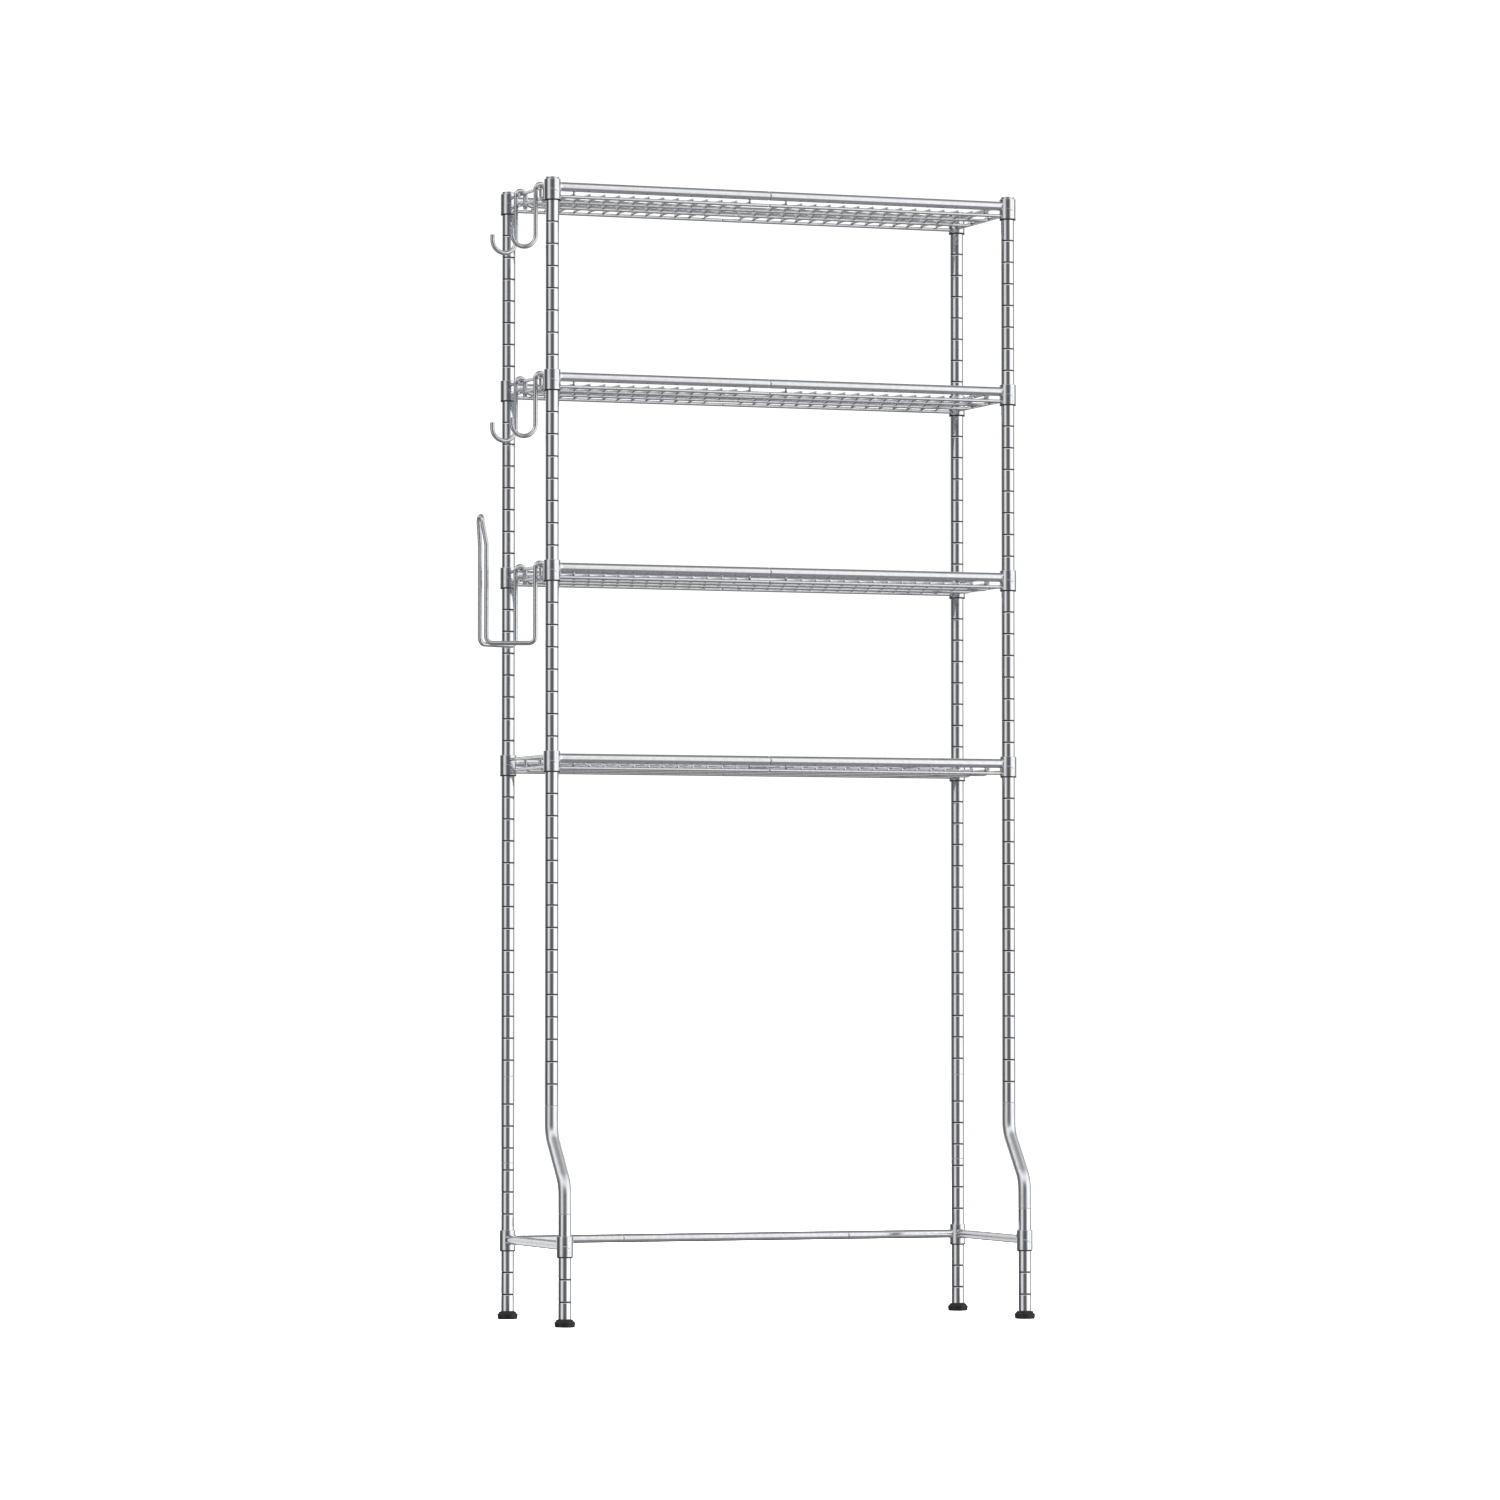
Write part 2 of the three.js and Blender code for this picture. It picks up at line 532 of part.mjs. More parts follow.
for (const [rowName, row] of Object.entries(rows)) {
  for (const [sideName, side] of Object.entries(sides)) {
    const corner = `${rowName}_${sideName}`;
    const x = side * poleX;
    const y = row * poleY;
    const footY = row < 0 ? -legY : poleY;
    const legTop = row < 0 ? KNEE_BOTTOM_Z - BUTT_GAP : LINK_BOTTOM_Z - BUTT_GAP;
    const shankBottom = (row < 0 ? kneeTopZ : LINK_BOTTOM_Z + LINK_LENGTH) + BUTT_GAP;
    const topEnds = { spigot: false, insert: false };
    const plugEnds = { spigot: true, insert: false };
    const legEnds = { spigot: true, insert: true };
    rack.add(
      piece(`${corner}_pole_cap`, poleCap(x, y), chrome),
      piece(`${corner}_pole_top`, poleSection(x, y, poleJointZ + BUTT_GAP, poleTopZ, topEnds), chrome),
      piece(`${corner}_pole_middle`, poleSection(x, y, shankBottom, poleJointZ, plugEnds), chrome),
      piece(`${corner}_leg`, poleSection(x, footY, FOOT_HEIGHT + BUTT_GAP, legTop, legEnds), chrome),
      piece(`${corner}_foot`, foot(x, footY), blackPlastic),
      piece(`base_sleeve_${corner}`, sleeve(x, footY, BASE_FRAME_Z, side), blackPlastic),
    );
    if (row < 0) {
      rack.add(piece(`${corner}_knee_tube`, kneeTube(x), chrome));
    } else {
      const link = poleSection(x, y, LINK_BOTTOM_Z, LINK_BOTTOM_Z + LINK_LENGTH, plugEnds);
      rack.add(piece(`${corner}_link_tube`, link, chrome));
    }
    SHELF_NAMES.forEach((name, index) => {
      rack.add(piece(`${name}_sleeve_${corner}`, sleeve(x, y, shelfZ[index], side), blackPlastic));
    });
  }
}

for (const [sideName, side] of Object.entries(sides)) {
  SHELF_NAMES.forEach((name, index) => {
    const half = piece(`${name}_shelf_${sideName}_half`, halfShelf(side), satinChrome);
    half.position.z = shelfZ[index];
    rack.add(half);
  });
  rack.add(piece(`base_frame_${sideName}`, baseSide(side), satinChrome));
}
rack.add(piece('base_frame_rear_rod', baseRearRod(), satinChrome));

for (const index of [2, 3]) {
  for (const [rowName, row] of Object.entries(rows)) {
    const hook = sideHook(row * hookY, shelfZ[index]);
    rack.add(piece(`${SHELF_NAMES[index]}_shelf_${rowName}_hook`, hook, satinChrome));
  }
}
rack.add(piece('spare_roll_holder', rollHolder(shelfZ[1]), satinChrome));

const extent = new THREE.Box3().setFromObject(rack);
const middle = extent.getCenter(new THREE.Vector3());
rack.position.set(-middle.x, -middle.y, 0);

export default rack;
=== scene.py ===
"""Looks of a chromed over-toilet storage rack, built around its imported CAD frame.

Every length is in millimetres until a mesh is made. Places come from the boxes of the CAD
nodes, so each piece stands exactly where its CAD node does and rides on the same body.
"""

import enum
import logging
import math
from collections.abc import Sequence
from dataclasses import dataclass, field
from typing import Any, ClassVar

import bpy
from mathutils import Matrix, Vector, noise


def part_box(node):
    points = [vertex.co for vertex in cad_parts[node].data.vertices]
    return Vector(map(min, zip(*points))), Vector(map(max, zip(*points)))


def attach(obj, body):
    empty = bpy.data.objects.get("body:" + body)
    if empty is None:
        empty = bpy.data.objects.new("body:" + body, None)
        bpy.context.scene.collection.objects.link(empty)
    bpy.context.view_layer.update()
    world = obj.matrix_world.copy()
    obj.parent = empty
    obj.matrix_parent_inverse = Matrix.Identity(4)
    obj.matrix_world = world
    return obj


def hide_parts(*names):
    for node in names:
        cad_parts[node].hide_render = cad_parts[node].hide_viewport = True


log = logging.getLogger("storage_rack")

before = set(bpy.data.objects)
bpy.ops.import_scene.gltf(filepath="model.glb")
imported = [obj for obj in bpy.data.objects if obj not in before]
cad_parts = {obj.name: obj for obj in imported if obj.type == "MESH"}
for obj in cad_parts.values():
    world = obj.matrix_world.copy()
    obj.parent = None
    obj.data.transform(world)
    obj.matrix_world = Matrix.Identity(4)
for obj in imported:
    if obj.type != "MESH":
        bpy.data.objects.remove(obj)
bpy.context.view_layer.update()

MM = 0.001
Profile = Sequence[tuple[float, float]]
Triple = tuple[float, float, float]


class NamedPlace(enum.Enum):
    """Base of the named places on the rack."""

    @property
    def label(self) -> str:
        """Word that the names of CAD nodes use for the place."""
        return self.name.lower()


class Side(NamedPlace):
    """Which side of the rack a piece stands on, as the sign of its X."""

    LEFT = -1
    RIGHT = 1


class Row(NamedPlace):
    """Front or rear row of poles, as the sign of its Y."""

    FRONT = -1
    REAR = 1


class Tier(NamedPlace):
    """The four shelves, from the lowest up."""

    LOWER = 0
    MIDDLE = 1
    UPPER = 2
    TOP = 3


class WireEnd(enum.Enum):
    """How the cut end of a wire or tube is finished."""

    CUT = "sheared square with a slight burr radius"
    DOME = "tumbled to a dome"


CORNERS = tuple((row, side) for row in Row for side in Side)


def corner_label(row: Row, side: Side) -> str:
    """Name of a corner as the CAD nodes spell it."""
    return f"{row.label}_{side.label}"


def cad_box(node: str) -> tuple[Vector, Vector]:
    """Lowest and highest corners of a CAD node, in millimetres."""
    low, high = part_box(node)
    return low / MM, high / MM


def cad_centre(node: str) -> Vector:
    """Centre of a CAD node's box, in millimetres."""
    low, high = cad_box(node)
    return (low + high) / 2


def srgb(hex_code: str) -> tuple[float, float, float, float]:
    """Turns an sRGB hex colour into the linear colour that shaders take.

    Args:
        hex_code: six hex digits, red first.

    Returns:
        Linear red, green, blue and an alpha of 1.
    """
    channels = [int(hex_code[i:i + 2], 16) / 255 for i in (0, 2, 4)]
    linear = [c / 12.92 if c <= 0.04045 else ((c + 0.055) / 1.055) ** 2.4 for c in channels]
    return (*linear, 1.0)


# Shader helpers and finishes


def add_node(
    tree: bpy.types.NodeTree,
    kind: str,
    settings: dict[str, Any] | None = None,
    inputs: dict[str | int, Any] | None = None,
) -> bpy.types.Node:
    """Adds a node, sets its options and fills or links its inputs.

    Args:
        tree: node tree that receives the node.
        kind: Blender's type name of the node.
        settings: options of the node itself, by attribute name.
        inputs: a constant or another node's output for each named or numbered input.

    Returns:
        The new node.
    """
    node = tree.nodes.new(kind)
    for name, value in (settings or {}).items():
        setattr(node, name, value)
    for name, value in (inputs or {}).items():
        if isinstance(value, bpy.types.NodeSocket):
            tree.links.new(value, node.inputs[name])
        else:
            node.inputs[name].default_value = value
    return node


def set_ramp(node: bpy.types.Node, stops: Sequence[tuple[float, float]]) -> None:
    """Writes grey stops into a colour ramp.

    Args:
        node: the Color Ramp node.
        stops: position and grey level of each stop, in rising order.
    """
    ramp = node.color_ramp
    while len(ramp.elements) < len(stops):
        ramp.elements.new(1.0)
    for element, (place, level) in zip(ramp.elements, stops):
        element.position = place
        element.color = (level, level, level, 1.0)


def surface_noise(
    tree: bpy.types.NodeTree, grain_mm: float, stretch: Triple, detail: float
) -> bpy.types.NodeSocket:
    """Adds a noise pattern fixed to the object, at a real scale.

    Args:
        tree: node tree that receives the nodes.
        grain_mm: size of one blotch of the pattern.
        stretch: how much longer a blotch is along each axis.
        detail: octaves of finer pattern.

    Returns:
        The pattern's grey output.
    """
    place = add_node(tree, "ShaderNodeTexCoord")
    squeeze = tuple(1.0 / (s * grain_mm * MM) for s in stretch)
    scaled = add_node(
        tree, "ShaderNodeMapping", {}, {"Vector": place.outputs["Object"], "Scale": squeeze}
    )
    pattern = add_node(
        tree,
        "ShaderNodeTexNoise",
        {},
        {"Vector": scaled.outputs["Vector"], "Scale": 1.0, "Detail": detail},
    )
    return pattern.outputs["Fac"]


@dataclass(frozen=True)
class Finish:
    """Base of the finishes: two tints blended by one pattern, over the relief of another."""

    name: str
    tint: str                     # sRGB colour where the surface is clean
    worn_tint: str                # sRGB colour where the patches are densest
    roughness: tuple[float, float]
    patch_mm: float               # size of the hazy, scuffed or mottled patches
    relief_mm: float = 0.0        # length of the waves, or spacing of the texture
    relief_depth_mm: float = 0.0
    grain: Triple = (1.0, 1.0, 1.0)

    patch_detail: ClassVar[float] = 3.0
    relief_detail: ClassVar[float] = 1.0

    def constants(self) -> dict[str, float]:
        """Shader inputs that are the same all over the surface."""
        return {}

    def material(self) -> bpy.types.Material:
        """Builds the finish as a node material.

        Returns:
            The finished material.
        """
        material = bpy.data.materials.new(self.name)
        material.use_nodes = True
        tree = material.node_tree
        tree.nodes.clear()
        patches = surface_noise(tree, self.patch_mm, self.grain, self.patch_detail)
        # The middle band of the pattern is spread over each range of values
        band = {"Value": patches, "From Min": 0.3, "From Max": 0.7}
        blend = add_node(tree, "ShaderNodeMapRange", {}, {**band, "To Min": 0.0, "To Max": 1.0})
        tint = add_node(
            tree,
            "ShaderNodeMix",
            {"data_type": "RGBA"},
            {0: blend.outputs["Result"], 6: srgb(self.tint), 7: srgb(self.worn_tint)},
        )
        inputs: dict[str, Any] = {"Base Color": tint.outputs[2], **self.constants()}
        smooth, rough = self.roughness
        inputs["Roughness"] = smooth
        if rough > smooth:
            ends = {"To Min": smooth, "To Max": rough}
            level = add_node(tree, "ShaderNodeMapRange", {}, {**band, **ends})
            inputs["Roughness"] = level.outputs["Result"]
        if self.relief_depth_mm:
            relief = surface_noise(tree, self.relief_mm, self.grain, self.relief_detail)
            depth = self.relief_depth_mm * MM
            bump = add_node(
                tree, "ShaderNodeBump", {}, {"Height": relief, "Distance": depth, "Strength": 1.0}
            )
            inputs["Normal"] = bump.outputs["Normal"]
        shader = add_node(tree, "ShaderNodeBsdfPrincipled", {}, inputs)
        add_node(tree, "ShaderNodeOutputMaterial", {}, {"Surface": shader.outputs[0]})
        return material


@dataclass(frozen=True)
class PlatedMetal(Finish):
    """Decorative chromium plate over nickel on steel.

    The eye gets a cool mirror whose edge is softened by the roughness of the steel below it.
    Wide shallow waves left by drawing or bending make straight reflections wander a little,
    and a faint haze varies where the polish and the plating bath were uneven.
    """

    def constants(self) -> dict[str, float]:
        """Shader inputs that are the same all over the plate."""
        return {"Metallic": 1.0}


@dataclass(frozen=True)
class MouldedPlastic(Finish):
    """Black thermoplastic straight from the mould, without paint.

    The eye gets a near black with a soft sheen, broken up by the fine etched texture of the
    mould and by paler scuffed patches where parts have rubbed.
    """

    ior: float = 1.5
    specular: float = 0.3         # etched texture hides part of the mirror reflection

    patch_detail: ClassVar[float] = 4.0
    relief_detail: ClassVar[float] = 2.0

    def constants(self) -> dict[str, float]:
        """Shader inputs that are the same all over the plastic."""
        return {"IOR": self.ior, "Specular IOR Level": self.specular}


@dataclass(frozen=True)
class PaintedFloor(Finish):
    """Seamless studio floor rolled with matt emulsion.

    The eye gets a plain pale ground with a hardly visible mottle from the roller.
    """


# Tube that is drawn and polished lengthwise, so haze and waves run along the poles.
POLE_CHROME = PlatedMetal(
    name="bright_chrome_plate_on_drawn_tube",
    tint="DCDEE0",
    worn_tint="D3D5D8",
    roughness=(0.035, 0.07),
    patch_mm=5.0,
    relief_mm=9.0,
    relief_depth_mm=0.005,
    grain=(1.0, 1.0, 9.0),
)
# Welded tube is polished less evenly than loose tube, so its mirror is softer.
ROD_CHROME = PlatedMetal(
    name="chrome_plate_on_welded_tube",
    tint="D6D8DB",
    worn_tint="C9CBCF",
    roughness=(0.07, 0.11),
    patch_mm=6.0,
    relief_mm=8.0,
    relief_depth_mm=0.006,
)
# A bent tube loses its polish in the bending press, which leaves a broad soft sheen.
BENT_CHROME = PlatedMetal(
    name="satin_chrome_plate_on_bent_tube",
    tint="DEE0E2",
    worn_tint="D4D6D9",
    roughness=(0.26, 0.33),
    patch_mm=6.0,
    relief_mm=9.0,
    relief_depth_mm=0.006,
    grain=(1.0, 1.0, 5.0),
)
# Thin wire is plated as drawn, unpolished, which leaves it satin.
WIRE_CHROME = PlatedMetal(
    name="satin_chrome_plate_on_drawn_wire",
    tint="D0D2D5",
    worn_tint="C0C2C6",
    roughness=(0.13, 0.2),
    patch_mm=4.0,
    relief_mm=6.0,
    relief_depth_mm=0.008,
)
# Resistance welds are plated over their frozen splash, which scatters the reflection.
WELD_CHROME = PlatedMetal(
    name="chrome_plate_over_weld",
    tint="C4C5C8",
    worn_tint="A3A4A8",
    roughness=(0.24, 0.4),
    patch_mm=0.8,
    relief_mm=0.9,
    relief_depth_mm=0.06,
)
# Plated ABS keeps the mould's smoothness and has the slightly wavy look of a soft base.
CAP_CHROME = PlatedMetal(
    name="chrome_plate_on_moulded_abs",
    tint="DCDEE1",
    worn_tint="D2D4D8",
    roughness=(0.06, 0.1),
    patch_mm=2.5,
    relief_mm=5.0,
    relief_depth_mm=0.006,
)
# The roller that presses the grooves stretches the steel, so the plate there is thin and matt.
# Its dark tint against the mirror beside it is partly painted shade, for the dark reflections and
# occlusion inside the groove.
GROOVE_CHROME_WITH_PAINTED_SHADE = PlatedMetal(
    name="thin_chrome_plate_in_rolled_groove",
    tint="4A4B4E",
    worn_tint="303133",
    roughness=(0.25, 0.4),
    patch_mm=1.5,
    relief_mm=2.0,
    relief_depth_mm=0.01,
)
# The mould's etch is about 0.1 mm; it is drawn at 0.5 mm so that it shows at all.
FOOT_PLASTIC = MouldedPlastic(
    name="black_moulded_polypropylene",
    tint="080809",
    worn_tint="101012",
    roughness=(0.3, 0.45),
    relief_mm=0.5,
    relief_depth_mm=0.03,
    patch_mm=3.0,
    ior=1.49,
)
# The sleeves' texture is likewise drawn coarser than it is, at 0.4 mm.
SLEEVE_PLASTIC = MouldedPlastic(
    name="black_moulded_nylon",
    tint="0A0A0B",
    worn_tint="131315",
    roughness=(0.42, 0.6),
    relief_mm=0.4,
    relief_depth_mm=0.02,
    patch_mm=2.5,
    ior=1.53,
)
FLOOR_PAINT = PaintedFloor(
    name="matt_emulsion_floor",
    tint="FBFBFB",
    worn_tint="F7F7F7",
    roughness=(0.9, 0.9),
    patch_mm=45.0,
)


class Finishes:
    """The finishes as Blender materials, each made once."""

    def __init__(self) -> None:
        """Starts with nothing made."""
        self.made: dict[str, bpy.types.Material] = {}

    def get(self, finish: Finish) -> bpy.types.Material:
        """Gives a finish's material, made on first use.

        Args:
            finish: description of the finish.

        Returns:
            The material.
        """
        if finish.name not in self.made:
            self.made[finish.name] = finish.material()
        return self.made[finish.name]


# Paths and meshes


def rounded(route: Sequence[Vector], radius: float, steps: int = 8) -> list[Vector]:
    """Rounds every inner corner of a route with an arc.

    Args:
        route: corner points of the route.
        radius: bend radius at the wire's centre line.
        steps: segments in each bend.

    Returns:
        Points of the rounded route.
    """
    points = [route[0]]
    for before, corner, after in zip(route, route[1:], route[2:]):
        arriving = (corner - before).normalized()
        leaving = (after - corner).normalized()
        turn = arriving.angle(leaving)
        room = 0.49 * min((corner - before).length, (after - corner).length)
        reach = min(radius * math.tan(turn / 2), room)
        bend = reach / math.tan(turn / 2)
        centre = corner + (leaving - arriving).normalized() * bend / math.cos(turn / 2)
        start = corner - arriving * reach
        axis = arriving.cross(leaving).normalized()
        for i in range(steps + 1):
            points.append(centre + Matrix.Rotation(turn * i / steps, 3, axis) @ (start - centre))
    points.append(route[-1])
    return points


def half_circle(centre: Vector, along: Vector, up: Vector, steps: int = 14) -> list[Vector]:
    """Points of a half circle that starts on one side and passes over the top.

    Args:
        centre: centre of the arc.
        along: radius vector to the first point.
        up: radius vector to the middle point.
        steps: segments in the arc.

    Returns:
        The arc's points.
    """
    angles = [math.pi * i / steps for i in range(steps + 1)]
    return [centre + along * math.cos(a) + up * math.sin(a) for a in angles]


def straight(start: Vector, end: Vector, spans: int) -> list[Vector]:
    """Equally spaced points from one place to another, both included."""
    return [start.lerp(end, i / spans) for i in range(spans + 1)]


def circle(sides: int) -> list[tuple[float, float]]:
    """Cosine and sine of equal steps round a circle."""
    angles = [2 * math.pi * j / sides for j in range(sides)]
    return [(math.cos(a), math.sin(a)) for a in angles]


def soft_corner(
    corner: tuple[float, float],
    start: tuple[float, float],
    end: tuple[float, float],
    radius: float,
    steps: int = 3,
) -> list[tuple[float, float]]:
    """Rounds one corner of a turned profile.

    Args:
        corner: the sharp corner as radius and height.
        start: direction of the profile before the corner, pointing back from it.
        end: direction of the profile after the corner.
        radius: size of the rounding.
        steps: segments in the rounding.

    Returns:
        Profile points that replace the corner.
    """
    points = []
    for i in range(steps + 1):
        angle = math.pi / 2 * i / steps
        back = radius * (1 - math.sin(angle))
        ahead = radius * (1 - math.cos(angle))
        points.append((
            corner[0] + start[0] * back + end[0] * ahead,
            corner[1] + start[1] * back + end[1] * ahead,
        ))
    return points


class MeshBuilder:
    """Collects closed shells in millimetres and turns them into one Blender object."""

    SHARP_DEG: ClassVar[float] = 38.0      # sharper edges than this are shaded hard
    INSIDE_MM: ClassVar[float] = 0.8       # from a rounded end to the ring that supports it
    TIP_MM: ClassVar[float] = 0.02         # radius of the tip of a domed end
    END_STEPS: ClassVar[int] = 4
    SLEEVE_STEPS: ClassVar[int] = 56
    BEAD_LEVELS: ClassVar[int] = 5
    BEAD_SIDES: ClassVar[int] = 10
    BEAD_LUMP: ClassVar[float] = 0.16      # how far a bead's lumps rise, as a share of its size

    def __init__(self) -> None:
        """Starts an empty mesh."""
        self.points: list[Vector] = []
        self.faces: list[tuple[int, ...]] = []
        self.finish_of_face: list[int] = []
        self.finish = 0

    def use_finish(self, index: int) -> None:
        """Picks which of the object's materials the next shells take."""
        self.finish = index

    def add_face(self, *corners: int) -> None:
        """Adds one face with the current finish."""
        self.faces.append(corners)
        self.finish_of_face.append(self.finish)

    def loft(self, rings: Sequence[Sequence[Vector]], capped: bool = True) -> None:
        """Joins rings of points into a tube.

        Args:
            rings: rings with the same number of points, in order.
            capped: closes both ends; otherwise the last ring is joined to the first.
        """
        base = len(self.points)
        count = len(rings[0])
        for ring in rings:
            self.points.extend(ring)
        spans = len(rings) - 1 if capped else len(rings)
        for i in range(spans):
            here = base + i * count
            there = base + (i + 1) % len(rings) * count
            for j in range(count):
                k = (j + 1) % count
                self.add_face(here + j, here + k, there + k, there + j)
        if capped:
            last = base + (len(rings) - 1) * count
            self.add_face(*(base + j for j in reversed(range(count))))
            self.add_face(*(last + j for j in range(count)))

    def turned(
        self,
        profile: Profile,
        x: float,
        y: float,
        sides: int = 48,
        shaded_groove_radii: tuple[float, float] | None = None,
    ) -> None:
        """Revolves a closed profile all the way about an upright axis.

        Args:
            profile: radius and height of each point, outer wall upwards.
            x: place of the axis.
            y: place of the axis.
            sides: segments around.
            shaded_groove_radii: radii between which the wall takes finish 1 instead of finish 0.
        """
        first = len(self.faces)
        turn = circle(sides)
        self.loft(
            [[Vector((x + r * c, y + r * s, height)) for c, s in turn] for r, height in profile],
            capped=False,
        )
        if shaded_groove_radii is None:
            return
        # Faces within these radii, the grooves, take finish 1, whose dark tint is partly painted
        # shade
        for i, (here, there) in enumerate(zip(profile, profile[1:])):
            if shaded_groove_radii[0] < here[0] < shaded_groove_radii[1] and shaded_groove_radii[0] < there[0] < shaded_groove_radii[1]:
                start = first + i * sides
                self.finish_of_face[start:start + sides] = [1] * sides

    def split_ring(self, profile: Profile, axis: Vector, slot_mm: float, side: Side) -> None:
        """Revolves a closed profile about an upright axis, leaving a slot that faces outwards.

        Args:
            profile: radius and height of each point, outer wall upwards.
            axis: a point on the upright axis.
            slot_mm: width of the slot.
            side: side of the rack that the slot faces.
        """
        half = slot_mm / 2 / profile[0][0]
        start = half if side is Side.RIGHT else math.pi + half
        sections = []
        for i in range(self.SLEEVE_STEPS + 1):
            angle = start + (2 * math.pi - 2 * half) * i / self.SLEEVE_STEPS
            out = Vector((math.cos(angle), math.sin(angle), 0))
            sections.append([axis + out * r + Vector((0, 0, h)) for r, h in reversed(profile)])
        self.loft(sections)

    def sweep(
        self,
        path: Sequence[Vector],
        radius: float,
        sides: int = 16,
        end: WireEnd = WireEnd.CUT,
        burr: float = 0.35,
    ) -> None:
        """Sweeps a round wire along a path.

        Args:
            path: centre line of the wire.
            radius: the wire's radius.
            sides: segments around the wire.
            end: finish of both cut ends.
            burr: rounding of a sheared end.
        """
        size = radius if end is WireEnd.DOME else min(burr, radius / 2)
        path = [p.copy() for p in path]
        directions = [(b - a).normalized() for a, b in zip(path, path[1:])]
        tangents = [directions[0]]
        tangents += [(a + b).normalized() for a, b in zip(directions, directions[1:])]
        tangents.append(directions[-1])
        first, last = directions[0], directions[-1]
        path[0] += first * size
        path[-1] -= last * size
        ends = self.rounded_end(radius, size)
        rings = [(path[0] - first * back, first, width) for width, back in ends]
        rings.append((path[0], first, radius))
        # A ring just inside each end keeps the smooth shading of the rounding off the long wall
        rings.append((path[0] + first * self.INSIDE_MM, first, radius))
        rings += [(point, tangent, radius) for point, tangent in zip(path[1:-1], tangents[1:-1])]
        rings.append((path[-1] - last * self.INSIDE_MM, last, radius))
        rings.append((path[-1], last, radius))
        rings += [(path[-1] + last * back, last, width) for width, back in reversed(ends)]
        lateral = tangents[0].orthogonal().normalized()
        turn = circle(sides)
        placed = []
        for centre, tangent, width in rings:
            lateral = (lateral - tangent * lateral.dot(tangent)).normalized()
            other = tangent.cross(lateral)
            placed.append([centre + (lateral * c + other * s) * width for c, s in turn])
        self.loft(placed)

    def rounded_end(self, radius: float, size: float) -> list[tuple[float, float]]:
        """Rings of a wire's rounded end, from its tip inwards.

        Args:
            radius: the wire's radius.
            size: size of the rounding.

        Returns:
            Radius of each ring and its distance from the start of the rounding.
        """
        rings = []
        for i in range(self.END_STEPS):
            angle = math.pi / 2 * i / self.END_STEPS
            width = radius - size * (1 - math.sin(angle))
            rings.append((max(width, self.TIP_MM), size * math.cos(angle)))
        return rings

    def weld_bead(self, centre: Vector, size: Triple, seed: float) -> None:
        """Adds a small lumpy bead where two wires are fused.

        Args:
            centre: middle of the weld.
            size: half size of the bead along each axis.
            seed: picks the bead's own lumps.
        """
        rings = []
        pick = Vector((seed, seed * 0.37, 0))
        for i in range(self.BEAD_LEVELS + 1):
            slope = math.pi * (0.06 + 0.88 * i / self.BEAD_LEVELS)
            ring = []
            for c, s in circle(self.BEAD_SIDES):
                out = Vector((math.sin(slope) * c, math.sin(slope) * s, -math.cos(slope)))
                lump = 1 + self.BEAD_LUMP * noise.noise(out * 1.7 + pick)
                ring.append(centre + Vector([o * half for o, half in zip(out, size)]) * lump)
            rings.append(ring)
        self.loft(rings)

    def build(self, name: str, materials: Sequence[bpy.types.Material]) -> bpy.types.Object:
        """Makes the Blender object from the shells.

        Args:
            name: name of the object.
            materials: finishes in the order of their numbers.

        Returns:
            The object, linked to the scene.
        """
        mesh = bpy.data.meshes.new(name)
        mesh.from_pydata([p * MM for p in self.points], [], self.faces)
        mesh.polygons.foreach_set("material_index", self.finish_of_face)
        mesh.polygons.foreach_set("use_smooth", [True] * len(self.faces))
        mesh.set_sharp_from_angle(angle=math.radians(self.SHARP_DEG))
        for material in materials:
            mesh.materials.append(material)
        mesh.update()
        obj = bpy.data.objects.new(name, mesh)
        bpy.context.scene.collection.objects.link(obj)
        return obj


